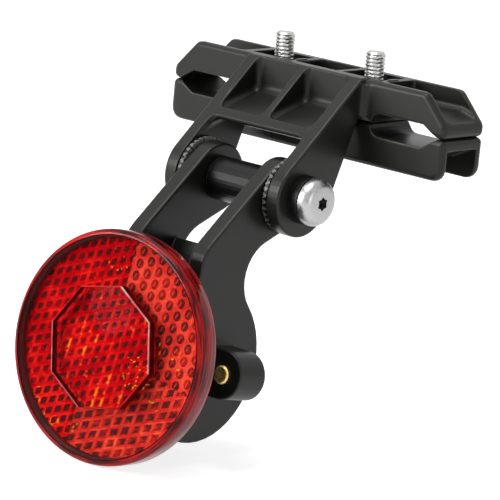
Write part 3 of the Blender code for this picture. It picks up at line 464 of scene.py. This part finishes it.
# The teeth's flanks are painted lighter, as a highlight.
lit_flanks = blended(toothed, above, ACETAL_BLACK, TOOTH_FLANK_HIGHLIGHT)
link(toothed, lit_flanks, principled(toothed).inputs["Base Color"])
for side in ("left", "right"):
    dress(f"toothed_washer_{side}", toothed)

# The pivot bolt is an M5 button head screw, plated like the others, with a six-pointed socket. It clamps
# the arm between the ears, from the right.
BOLT_RADIUS = 0.0025
BOLT_THREAD_DEPTH = 0.00042
HEAD_HEIGHT = 0.0026
HEAD_RIM = 0.0006
HEAD_RADIUS = 0.0049
HEAD_FLAT = 0.0031
STAR_RADIUS = 0.0015
STAR_WAIST = 0.74
STAR_DEPTH = 0.0017
low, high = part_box("pivot_bolt")
pivot = Vector((0, (low.y + high.y) / 2, (low.z + high.z) / 2))
bolt = threaded_bar("bolt", BOLT_RADIUS, BOLT_THREAD_DEPTH, 0, high.x - HEAD_HEIGHT - low.x)
deselect()
bpy.ops.mesh.primitive_circle_add(vertices=64, radius=HEAD_RADIUS, fill_type="NGON")
head = bpy.context.object
bpy.ops.object.mode_set(mode="EDIT")
bpy.ops.mesh.select_all(action="SELECT")
bpy.ops.mesh.extrude_region_move(TRANSFORM_OT_translate={"value": (0, 0, HEAD_RIM)})
# The head's rounded shoulder rises in steps of 15 degrees.
wide_before, rise_before = HEAD_RADIUS, 0
for angle in range(15, 91, 15):
    wide = HEAD_FLAT + (HEAD_RADIUS - HEAD_FLAT) * cos(radians(angle))
    rise = (HEAD_HEIGHT - HEAD_RIM) * sin(radians(angle))
    bpy.ops.mesh.extrude_region_move(TRANSFORM_OT_translate={"value": (0, 0, rise - rise_before)})
    bpy.ops.transform.resize(value=(wide / wide_before, wide / wide_before, 1))
    wide_before, rise_before = wide, rise
bpy.ops.object.mode_set(mode="OBJECT")
bpy.ops.mesh.primitive_cylinder_add(
    vertices=12, radius=STAR_RADIUS, depth=2 * STAR_DEPTH, location=(0, 0, HEAD_HEIGHT)
)
socket = bpy.context.object
for vertex in socket.data.vertices:
    if round((atan2(vertex.co.y, vertex.co.x) + pi) / (pi / 6)) % 2:
        vertex.co.x *= STAR_WAIST
        vertex.co.y *= STAR_WAIST
apply_modifier(head, "BOOLEAN", operation="DIFFERENCE", solver="EXACT", object=socket)
bpy.data.objects.remove(socket)
head.data.transform(Matrix.Rotation(pi / 2, 4, "Y"))
head.data.transform(Matrix.Translation((high.x - HEAD_HEIGHT, 0, 0)))
bolt.data.transform(Matrix.Rotation(-pi / 2, 4, "Y"))
bolt.data.transform(Matrix.Translation((high.x - HEAD_HEIGHT, 0, 0)))
pick(bolt, head)
bpy.ops.object.join()
bolt.data.transform(Matrix.Translation(pivot))
bpy.ops.object.mode_set(mode="EDIT")
bpy.ops.mesh.select_all(action="SELECT")
bpy.ops.mesh.normals_make_consistent(inside=False)
bpy.ops.object.mode_set(mode="OBJECT")
bpy.ops.object.shade_smooth_by_angle(angle=SHARP_ANGLE)
bolt.data.materials.append(plated_steel("bolt_steel", (0.4, 0.4, 0.4), 0.3))
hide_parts("pivot_bolt")
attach(bolt, "bolt")

# The swing arm is one moulding too: two plates with round ends, joined by a curved web and by the wall
# that carries the reflector, with a round boss on the right plate.
arm = copy_node("swing_arm", "arm")
soften(arm)
arm.data.materials.append(black_nylon("arm_nylon", (0.0085, 0.0085, 0.0075)))
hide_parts("swing_arm")
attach(arm, "arm")

# A small turned brass screw with a cross recess sits in the boss, facing the rear as the reflector does. Its
# head covers the solid's plain screw.
REFLECTOR_TILT = radians(8.2)
STEM_PLACE = Vector((0, -0.0624, -0.0447))
to_stem = Matrix.Translation(STEM_PLACE) @ Matrix.Rotation(-pi / 2 - REFLECTOR_TILT, 4, "X")
BOSS_SCREW_PLACE = (0.0159, 0.0016, 0.0207)
BOSS_SCREW_RADIUS = 0.0019
BOSS_SCREW_HEIGHT = 0.001
BOSS_SCREW_ROUNDING = 0.00045
SLIT_SIZE = (0.0021, 0.00042, 0.0011)
SLIT_TURN = 0.35
deselect()
bpy.ops.mesh.primitive_cylinder_add(vertices=40, radius=BOSS_SCREW_RADIUS, depth=BOSS_SCREW_HEIGHT)
boss_screw = bpy.context.object
boss_screw.name = "boss_screw_head"
apply_modifier(boss_screw, "BEVEL", width=BOSS_SCREW_ROUNDING, segments=4, limit_method="ANGLE")
for turn in (SLIT_TURN, SLIT_TURN + pi / 2):
    bpy.ops.mesh.primitive_cube_add(size=1, location=(0, 0, -0.0006), rotation=(0, 0, turn))
    slit = bpy.context.object
    slit.scale = SLIT_SIZE
    bpy.ops.object.transform_apply(location=True, rotation=True, scale=True)
    apply_modifier(boss_screw, "BOOLEAN", operation="DIFFERENCE", solver="EXACT", object=slit)
    bpy.data.objects.remove(slit)
boss_screw.data.transform(to_stem @ Matrix.Translation(BOSS_SCREW_PLACE))
pick(boss_screw)
bpy.ops.object.shade_smooth_by_angle(angle=SHARP_ANGLE)
screw_brass = plated_steel("screw_brass", (0.95, 0.68, 0.27), 0.45)
boss_screw.data.materials.append(screw_brass)
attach(boss_screw, "arm")
dress("boss_screw", screw_brass)

# The reflector's back is moulded into small prisms, in three sectors round the face and inside the octagon.
# They throw light back; this light and shade is painted, facet by facet, bright red on most faces and brown
# on the others. Each field of prisms is one prism copied over a slanted grid and cut off at the sector's
# edges, 0.1 to 0.25 mm off its ground.
STANDOFF = 0.01
AIM_SETBACK = 0.0116
LENS_YAW = radians(5.5)
LENS_ROLL = radians(11.9)
to_face = (
    to_stem
    @ Matrix.Translation((STANDOFF * sin(LENS_YAW), 0, AIM_SETBACK - STANDOFF * cos(LENS_YAW)))
    @ Matrix.Rotation(-LENS_YAW, 4, "Y")
    @ Matrix.Rotation(-LENS_ROLL, 4, "Z")
    @ Matrix.Rotation(pi, 4, "X")
)
FIELD_RADIUS = 0.0221
FIELD_DEPTH = -0.0022
OCTAGON_HALF = 0.0122
OCTAGON_FIELD_HALF = 0.0119
OCTAGON_FIELD_DEPTH = -0.0007
SECTOR_ANGLE = radians(73.3)
BOTTOM_ANGLE = radians(-24.2)
PRISM_RISE = 0.00012
POKE_RISE = 0.0001
GROUND_RISE = 0.00003
OVAL_RISE = 0.00005
SLIT_RISE = 0.0002
GROUND_SIZE = 0.06
GROUND_SINK = 0.0001
GRID_REACH = 14
rng = random.Random(7)


def prism_tile(name, inner, rise, dark, sides, squash=0.88, corner=0.1):
    """A four-sided prism on a unit square. Its flat top is painted dark and its four slopes are painted as
    sides says, as light and shade, and its corners are cut by the given length.
    """
    deselect()
    bpy.ops.mesh.primitive_plane_add(size=1)
    tile = bpy.context.object
    tile.name = name
    bpy.ops.object.mode_set(mode="EDIT")
    bpy.ops.mesh.select_all(action="SELECT")
    bpy.ops.mesh.inset(thickness=(1 - inner) / 2)
    bpy.ops.transform.translate(value=(0, 0, rise))
    bpy.ops.transform.resize(value=(1, squash, 1))
    if corner:
        bpy.ops.mesh.bevel(offset=corner, affect="VERTICES")
    bpy.ops.object.mode_set(mode="OBJECT")
    facet = tile.data.attributes.new("facet", "FLOAT", "FACE")
    for face in tile.data.polygons:
        x, y = face.center.xy
        if abs(x) < 0.1 and abs(y) < 0.1:
            value = dark
        elif abs(x) > abs(y):
            value = sides[0] if x > 0 else sides[1]
        else:
            value = sides[2] if y > 0 else sides[3]
        facet.data[face.index].value = value
    return tile


def split_tile(name):
    """The bottom sector's prism: its top is poked into four facets, of which three are painted dark as
    shade.
    """
    sides = (0.62, 0.54, 0.54, 0.56)
    tile = prism_tile(name, inner=0.7, rise=PRISM_RISE, dark=0.06, sides=sides, squash=0.9, corner=0)
    pick(tile)
    for face in tile.data.polygons:
        face.select = abs(face.center.x) < 0.1 and abs(face.center.y) < 0.1
    bpy.ops.object.mode_set(mode="EDIT")
    bpy.ops.mesh.select_mode(type="FACE")
    bpy.ops.mesh.poke(offset=POKE_RISE)
    bpy.ops.object.mode_set(mode="OBJECT")
    facet = tile.data.attributes["facet"]
    for face in tile.data.polygons:
        if face.center.xy.length < 0.3 and face.center.x < -0.05:
            facet.data[face.index].value = 0.22
    return tile


def oval_tile(name):
    """The right sector's prism: an upright oval whose collar is painted dark round a slit painted bright, as
    shade and light.
    """
    sides = (0.66, 0.62, 0.57, 0.6)
    ground = prism_tile(name, inner=0.93, rise=GROUND_RISE, dark=0.56, sides=sides, squash=1, corner=0)
    deselect()
    bpy.ops.mesh.primitive_circle_add(vertices=10, radius=1, fill_type="NGON", location=(0, 0, OVAL_RISE))
    oval = bpy.context.object
    bpy.ops.object.mode_set(mode="EDIT")
    bpy.ops.mesh.select_all(action="SELECT")
    bpy.ops.mesh.inset(thickness=0.5)
    bpy.ops.transform.resize(value=(0.28, 1.15, 1))
    bpy.ops.transform.rotate(value=radians(25), orient_axis="Z", center_override=(0, 0, 0))
    bpy.ops.transform.translate(value=(0, 0, SLIT_RISE))
    bpy.ops.object.mode_set(mode="OBJECT")
    facet = oval.data.attributes.new("facet", "FLOAT", "FACE")
    for face in oval.data.polygons:
        facet.data[face.index].value = 0.5 if len(face.vertices) > 4 else 0.05
    return ground, oval


def stepped_colours(material, value, stops):
    """Colours that run from one to the next as the value passes each stop."""
    ramp = add_node(material, "ShaderNodeValToRGB")
    elements = ramp.color_ramp.elements
    for number, (position, colour) in enumerate(stops):
        element = elements[number] if number < 2 else elements.new(position)
        element.position = position
        element.color = (*colour, 1)
    link(material, value, ramp.inputs["Fac"])
    return ramp.outputs["Color"]


def prism_colours(name, dark, body, bright, spark):
    """Red plastic with a lit back, painted: the facet attribute gives each facet its painted shade, from
    dark facets to painted sparks.
    """
    material = new_material(name, body, 0.35, Specular_IOR_Level=0.0)
    facet = add_node(material, "ShaderNodeAttribute", attribute_name="facet")
    where = add_node(material, "ShaderNodeTexCoord").outputs["Object"]
    streaks = remapped(material, noise_over(material, where, 900, 3), (0.3, 0.7), (-0.12, 0.12))
    patches = remapped(material, noise_over(material, where, 170, 1), (0.35, 0.65), (-0.12, 0.14))
    uneven = computed(material, "ADD", streaks, patches)
    shade = computed(material, "ADD", facet.outputs["Fac"], uneven)
    stops = ((0.06, dark), (0.3, times(body, 0.75)), (0.55, body), (0.85, bright), (0.97, spark))
    link(material, stepped_colours(material, shade, stops), principled(material).inputs["Base Color"])
    return material


def direction(length, angle):
    return Vector((cos(radians(angle)), sin(radians(angle)))) * length


def edge_line(point, outward):
    return Vector(point), Vector((cos(outward), sin(outward)))


def inside(place, lines, margin):
    return all((place - point).dot(outward) < margin for point, outward in lines)


def octagon_lines(half):
    return [edge_line((half * cos(k * pi / 4), half * sin(k * pi / 4)), k * pi / 4) for k in range(8)]


def prism_field(name, tiles, along, across, lines, depth, material, spread, open_middle=0.0):
    """Copies of a prism over a slanted grid, joined on a ground plate and cut off along the lines."""
    deselect()
    bpy.ops.mesh.primitive_plane_add(size=GROUND_SIZE)
    ground = bpy.context.object
    ground.name = name
    ground.data.transform(Matrix.Translation((0, 0, -GROUND_SINK)))
    ground.data.attributes.new("facet", "FLOAT", "FACE").data[0].value = 0.5
    slant = Matrix(((along.x, across.x, 0, 0), (along.y, across.y, 0, 0), (0, 0, 1, 0), (0, 0, 0, 1)))
    pieces = [ground]
    for row in range(-GRID_REACH, GRID_REACH + 1):
        for column in range(-GRID_REACH, GRID_REACH + 1):
            centre = along * column + across * row
            if not inside(centre, lines, along.length):
                continue
            if not open_middle <= centre.length <= FIELD_RADIUS + along.length:
                continue
            turn = Matrix.Rotation(rng.choice((0, 0, pi / 2)), 4, "Z") if spread > 0.1 else Matrix()
            for number, tile in enumerate(tiles):
                shape = slant @ turn if number == 0 else OVAL_SHAPE
                piece = new_object(tile.name, tile.data.copy())
                piece.data.transform(Matrix.Translation((centre.x, centre.y, 0)) @ shape)
                lift = rng.uniform(-spread, spread)
                for value in piece.data.attributes["facet"].data:
                    value.value += lift * (0.3 if value.value < 0.2 else 1)
                pieces.append(piece)
    pick(*pieces)
    bpy.ops.object.join()
    bpy.ops.object.mode_set(mode="EDIT")
    for point, outward in lines:
        bpy.ops.mesh.select_all(action="SELECT")
        bpy.ops.mesh.bisect(plane_co=(*point, 0), plane_no=(*outward, 0), clear_outer=True)
    bpy.ops.object.mode_set(mode="OBJECT")
    for tile in tiles:
        bpy.data.objects.remove(tile)
    ground.data.transform(to_face @ Matrix.Translation((0, 0, depth)))
    ground.data.materials.append(material)
    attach(ground, "arm")


OVAL_SHAPE = Matrix.Rotation(radians(-14), 4, "Z") @ Matrix.Diagonal((0.00104, 0.00116, 1, 1))
rim_angles = [k * pi / 24 for k in range(48)]
RIM_LINES = [edge_line((FIELD_RADIUS * cos(a), FIELD_RADIUS * sin(a)), a) for a in rim_angles]
TOP_CUT = edge_line((0.0045, 0.0166), SECTOR_ANGLE - pi / 2)
LEFT_CUT = edge_line((-0.0098, -0.0156), SECTOR_ANGLE - pi / 2)
LOW_CUT = edge_line((-0.016, -0.0078), radians(-82))
BOTTOM_CUT = edge_line((0.0157, -0.008), BOTTOM_ANGLE + pi / 2)


def other_side(line):
    return line[0], -line[1]


# The orange of the painted glints on the prisms.
ORANGE_SPARK = (1, 0.36, 0.02)
OPEN_MIDDLE = 0.0105
crimson = prism_colours(
    "prisms_crimson", (0.085, 0.0095, 0.0095), (0.5, 0.003, 0.007), (0.78, 0.02, 0.012), ORANGE_SPARK
)
scarlet = prism_colours(
    "prisms_scarlet", (0.09, 0.02, 0.018), (0.68, 0.035, 0.025), (0.88, 0.1, 0.055), ORANGE_SPARK
)
left_grid = (direction(0.00228, 8), direction(0.00242, 69))
prism_field(
    "prisms_left",
    [prism_tile("left_prism", inner=0.64, rise=PRISM_RISE, dark=0.05, sides=(0.58, 0.52, 0.55, 0.5))],
    *left_grid,
    RIM_LINES + [TOP_CUT, LOW_CUT],
    FIELD_DEPTH,
    crimson,
    spread=0.08,
    open_middle=OPEN_MIDDLE,
)
prism_field(
    "prisms_lower_left",
    [prism_tile("lower_left_prism", inner=0.7, rise=PRISM_RISE, dark=-0.02, sides=(0.7, 0.74, 0.72, 0.68))],
    *left_grid,
    RIM_LINES + [LEFT_CUT, other_side(LOW_CUT)],
    FIELD_DEPTH,
    crimson,
    spread=0.09,
    open_middle=OPEN_MIDDLE,
)
prism_field(
    "prisms_right",
    list(oval_tile("right_prism")),
    direction(0.00283, 6.7),
    direction(0.00257, 68.6),
    RIM_LINES + [other_side(TOP_CUT), other_side(BOTTOM_CUT)],
    FIELD_DEPTH,
    scarlet,
    spread=0.07,
    open_middle=OPEN_MIDDLE,
)
prism_field(
    "prisms_bottom",
    [split_tile("bottom_prism")],
    direction(0.00275, 7),
    direction(0.0024, 68),
    RIM_LINES + [BOTTOM_CUT, other_side(LEFT_CUT)],
    FIELD_DEPTH,
    scarlet,
    spread=0.12,
    open_middle=OPEN_MIDDLE,
)
prism_field(
    "prisms_octagon",
    [prism_tile("octagon_prism", inner=0.6, rise=PRISM_RISE, dark=0.08, sides=(0.72, 0.5, 0.5, 0.54))],
    *left_grid,
    octagon_lines(OCTAGON_FIELD_HALF),
    OCTAGON_FIELD_DEPTH,
    crimson,
    spread=0.1,
)

# Where a prism throws a lamp straight back it sparkles orange, mostly at the octagon's lower right; the
# sparkle is a painted highlight on flat slivers. One sliver is modelled and copied into groups, each with
# its middle, reach, count, depth and size.
SLIVER_RADIUS = 0.0005
SLIVER_WIDTH = 0.34
SLIVER_LIFT = 0.00032
SLIVER_TURNS = (-38, 55, 60, 8)
SPARK_GROUPS = (
    ((0.0075, -0.0045), 0.0034, 26, OCTAGON_FIELD_DEPTH, 0.8),
    ((-0.006, -0.005), 0.0035, 7, OCTAGON_FIELD_DEPTH, 0.55),
    ((0.004, 0.005), 0.004, 5, OCTAGON_FIELD_DEPTH, 0.5),
    ((0.0145, -0.0015), 0.0028, 5, FIELD_DEPTH, 1.5),
    ((0.0125, -0.0105), 0.0035, 6, FIELD_DEPTH, 1.0),
    ((-0.0085, -0.0155), 0.0016, 3, FIELD_DEPTH, 0.9),
    ((0.001, 0.0172), 0.0026, 8, FIELD_DEPTH, 0.7),
)
deselect()
bpy.ops.mesh.primitive_circle_add(vertices=4, radius=SLIVER_RADIUS, fill_type="NGON")
sliver = bpy.context.object
sliver.data.transform(Matrix.Diagonal((1, SLIVER_WIDTH, 1, 1)))
# The slivers' orange is painted, as glints of light.
spark_material = new_material("prism_sparks", ORANGE_SPARK, 0.3, Specular_IOR_Level=0.0)
spark_where = add_node(spark_material, "ShaderNodeTexCoord").outputs["Object"]
spark_noise = noise_over(spark_material, spark_where, 420)
spark_stops = ((0.4, (1, 0.07, 0.01)), (0.6, (1, 0.45, 0.03)))
spark_colours = stepped_colours(spark_material, spark_noise, spark_stops)
link(spark_material, spark_colours, principled(spark_material).inputs["Base Color"])
slivers = []
for middle, reach, count, depth, size in SPARK_GROUPS:
    for _ in range(count):
        x = middle[0] + rng.uniform(-reach, reach)
        y = middle[1] + rng.uniform(-reach, reach)
        if Vector((x, y)).length > FIELD_RADIUS - 0.001:
            continue
        piece = new_object("sliver", sliver.data.copy())
        turn = Matrix.Rotation(radians(rng.choice(SLIVER_TURNS)), 4, "Z")
        scale = Matrix.Diagonal((size * rng.uniform(0.6, 1.1), size, 1, 1))
        piece.data.transform(to_face @ Matrix.Translation((x, y, depth + SLIVER_LIFT)) @ turn @ scale)
        slivers.append(piece)
bpy.data.objects.remove(sliver)
pick(*slivers)
bpy.ops.object.join()
prism_sparks = bpy.context.object
prism_sparks.name = "prism_sparks"
prism_sparks.data.materials.append(spark_material)
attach(prism_sparks, "arm")

# Outside the prisms the lens has a flat flange, through which one sees its dull brown back. The ring is
# opaque, moulded with the lens, and lies in front of the prisms' cut edges.
FLANGE_DEPTH = -0.0012
FLANGE_RADIUS = 0.0228


def spun(name, profile, steps=144):
    """A profile of (radius, height) spun about the reflector's axis."""
    mesh = bpy.data.meshes.new(name)
    mesh.from_pydata([(r, 0, z) for r, z in profile], [(i, i + 1) for i in range(len(profile) - 1)], [])
    piece = new_object(name, mesh)
    pick(piece)
    bpy.ops.object.mode_set(mode="EDIT")
    bpy.ops.mesh.select_all(action="SELECT")
    bpy.ops.mesh.spin(steps=steps, angle=2 * pi, center=(0, 0, 0), axis=(0, 0, 1), use_auto_merge=True)
    bpy.ops.mesh.select_all(action="SELECT")
    bpy.ops.mesh.remove_doubles(threshold=0.000001)
    bpy.ops.mesh.normals_make_consistent(inside=False)
    bpy.ops.object.mode_set(mode="OBJECT")
    return piece


def round_the_face(material):
    """Coordinates that run once round the reflector, and a value that grows outwards and backwards."""
    where = add_node(material, "ShaderNodeTexCoord")
    place = add_node(material, "ShaderNodeMapping", vector_type="TEXTURE")
    place.inputs["Location"].default_value = to_face.to_translation()
    place.inputs["Rotation"].default_value = to_face.to_euler()
    link(material, where.outputs["Object"], place.inputs["Vector"])
    flat = add_node(material, "ShaderNodeVectorMath", operation="MULTIPLY")
    flat.inputs[1].default_value = (1, 1, 0)
    link(material, place.outputs["Vector"], flat.inputs[0])
    radius = add_node(material, "ShaderNodeVectorMath", operation="LENGTH")
    link(material, flat.outputs[0], radius.inputs[0])
    around = add_node(material, "ShaderNodeVectorMath", operation="NORMALIZE")
    link(material, flat.outputs[0], around.inputs[0])
    split = add_node(material, "ShaderNodeSeparateXYZ")
    link(material, place.outputs["Vector"], split.inputs[0])
    return around.outputs[0], computed(material, "SUBTRACT", radius.outputs["Value"], split.outputs["Z"])


flange_profile = [
    (FIELD_RADIUS - 0.0003, FIELD_DEPTH - 0.0003),
    (FIELD_RADIUS, FLANGE_DEPTH),
    (FLANGE_RADIUS, FLANGE_DEPTH + 0.0005),
]
flange = spun("lens_flange", flange_profile)
flange.data.transform(to_face)
brown = new_material("flange_brown", (0.05, 0.02, 0.016), 0.4, Specular_IOR_Level=0.1)
around = round_the_face(brown)[0]
brown_noise = noise_over(brown, around, 2.2, 3)
brown_stops = ((0.38, (0.042, 0.021, 0.017)), (0.66, (0.15, 0.016, 0.02)))
link(brown, stepped_colours(brown, brown_noise, brown_stops), principled(brown).inputs["Base Color"])
flange.data.materials.append(brown)
pick(flange)
bpy.ops.object.shade_smooth_by_angle(angle=SHARP_ANGLE)
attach(flange, "arm")

# The lens is injection moulded in clear red acrylic: a shallow cup with a raised octagon on its face. Its
# face is clear, and its rim, the octagon's walls and its edges are solid red plastic. The octagon's walls
# and a fine groove round the face are painted dark as shade; four of the octagon's top edges carry a painted
# pinkish-white highlight, and its other top edges and the rim's back edge are painted bright red as lit
# edges.
LENS_RADIUS = 0.02365
LENS_BACK_RADIUS = 0.02335
LENS_DEPTH = 0.0052
LENS_EDGE = 0.0011
LENS_INNER = 0.0219
OCTAGON_HEIGHT = 0.0019
OCTAGON_ROOT = 0.0005
OCTAGON_ROUNDING = 0.00024
FACE_RADIUS = LENS_RADIUS - LENS_EDGE
BACK_EDGE = 0.0006
front_face = [(0, 0), (FACE_RADIUS - 0.0002, 0), (FACE_RADIUS - 0.0001, -0.00012)]
front_edge = [
    (FACE_RADIUS + LENS_EDGE * sin(radians(a)), LENS_EDGE * cos(radians(a)) - LENS_EDGE)
    for a in range(0, 91, 10)
]
back = [
    (LENS_RADIUS - 0.0001, BACK_EDGE - LENS_DEPTH),
    (LENS_BACK_RADIUS + 0.0001, 0.0004 - LENS_DEPTH),
    (LENS_BACK_RADIUS, -LENS_DEPTH),
    (LENS_INNER, -LENS_DEPTH),
    (LENS_INNER, FIELD_DEPTH - 0.0009),
    (0, FIELD_DEPTH - 0.0009),
]
lens = spun("lens", front_face + front_edge + back)
deselect()
bpy.ops.mesh.primitive_cylinder_add(
    vertices=8,
    radius=OCTAGON_HALF / cos(pi / 8),
    depth=OCTAGON_HEIGHT + OCTAGON_ROOT,
    location=(0, 0, (OCTAGON_HEIGHT - OCTAGON_ROOT) / 2),
    rotation=(0, 0, pi / 8),
)
octagon = bpy.context.object
bpy.ops.object.transform_apply(location=True, rotation=True, scale=True)
apply_modifier(octagon, "BEVEL", width=OCTAGON_ROUNDING, segments=2, limit_method="ANGLE")
apply_modifier(lens, "BOOLEAN", operation="UNION", solver="EXACT", object=octagon)
bpy.data.objects.remove(octagon)


def clear_red(name, tint, gloss):
    """Clear acrylic that lets the prisms behind show, with a faint mirror-like skin."""
    material = bpy.data.materials.new(name)
    material.use_nodes = True
    material.node_tree.nodes.remove(principled(material))
    through = add_node(material, "ShaderNodeBsdfTransparent")
    through.inputs["Color"].default_value = (*tint, 1)
    skin = add_node(material, "ShaderNodeBsdfAnisotropic")
    skin.inputs["Roughness"].default_value = 0.05
    skin.inputs["Color"].default_value = (1, 1, 1, 1)
    edge = add_node(material, "ShaderNodeFresnel")
    edge.inputs["IOR"].default_value = 1.2
    both = add_node(material, "ShaderNodeMixShader")
    link(material, computed(material, "MULTIPLY", edge.outputs[0], gloss), both.inputs["Fac"])
    link(material, through.outputs[0], both.inputs[1])
    link(material, skin.outputs[0], both.inputs[2])
    link(material, both.outputs[0], material.node_tree.nodes["Material Output"].inputs["Surface"])
    return material


def solid_red(name, dark, light, stretch, roughness, specular=0.5):
    """Solid red acrylic with streaks that run round the rim."""
    material = new_material(name, light, roughness, Specular_IOR_Level=specular)
    around, reach = round_the_face(material)
    along = add_node(material, "ShaderNodeCombineXYZ")
    link(material, computed(material, "MULTIPLY", reach, stretch), along.inputs["Z"])
    place = add_node(material, "ShaderNodeVectorMath", operation="ADD")
    link(material, around, place.inputs[0])
    link(material, along.outputs[0], place.inputs[1])
    streaks = noise_over(material, place.outputs[0], 3.5, 4)
    colours = stepped_colours(material, streaks, ((0.4, dark), (0.62, light)))
    link(material, colours, principled(material).inputs["Base Color"])
    return material


for material in (
    clear_red("lens_clear", (1, 0.86, 0.85), 0.12),
    # The octagon's walls are painted dark red, as shade.
    solid_red("octagon_wall", (0.012, 0.001, 0.001), (0.16, 0.002, 0.003), 900, 0.2, 0.1),
    solid_red("lens_rim", (0.05, 0.003, 0.004), (0.5, 0.007, 0.008), 420, 0.1, 0.12),
    # A painted pinkish-white highlight for four of the octagon's top edges, and a painted bright red for its
    # other edges and the rim's back edge.
    solid_red("pink_edge_highlight", (0.5, 0.1, 0.095), (0.75, 0.34, 0.32), 60, 0.05),
    solid_red("lit_red_edge", (0.3, 0.003, 0.005), (0.7, 0.01, 0.01), 60, 0.3, 0.1),
):
    lens.data.materials.append(material)
CLEAR, DARK_WALL, RIM, PINK_EDGE_HIGHLIGHT, LIT_RED_EDGE = range(5)
HIGHLIGHT_SIDES = {0, 1, 4, 5}
for face in lens.data.polygons:
    x, y, z = face.center
    around_axis = Vector((x, y)).length
    sloping = face.normal.z < 0.99
    side = round(atan2(y, x) / (pi / 4)) % 8
    if z > OCTAGON_HEIGHT - 0.0003 and sloping:
        # Four of the octagon's top edges get a painted pinkish-white highlight, the others a painted bright
        # red.
        face.material_index = PINK_EDGE_HIGHLIGHT if side in HIGHLIGHT_SIDES else LIT_RED_EDGE
    # The octagon's walls are painted dark, as shade.
    elif z > 0.00005 and sloping:
        face.material_index = DARK_WALL
    # The rim's back edge is painted bright red, as a glow of light.
    elif z < BACK_EDGE - LENS_DEPTH:
        face.material_index = LIT_RED_EDGE
    # A fine groove round the face is painted dark, as shade.
    elif around_axis < FACE_RADIUS and -0.001 < z < -0.00001:
        face.material_index = DARK_WALL
    elif around_axis > FACE_RADIUS - 0.00005 or z < -LENS_EDGE:
        face.material_index = RIM
    else:
        face.material_index = CLEAR
lens.data.transform(to_face)
pick(lens)
bpy.ops.object.shade_smooth_by_angle(angle=radians(30))
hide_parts("reflector_lens")
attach(lens, "arm")
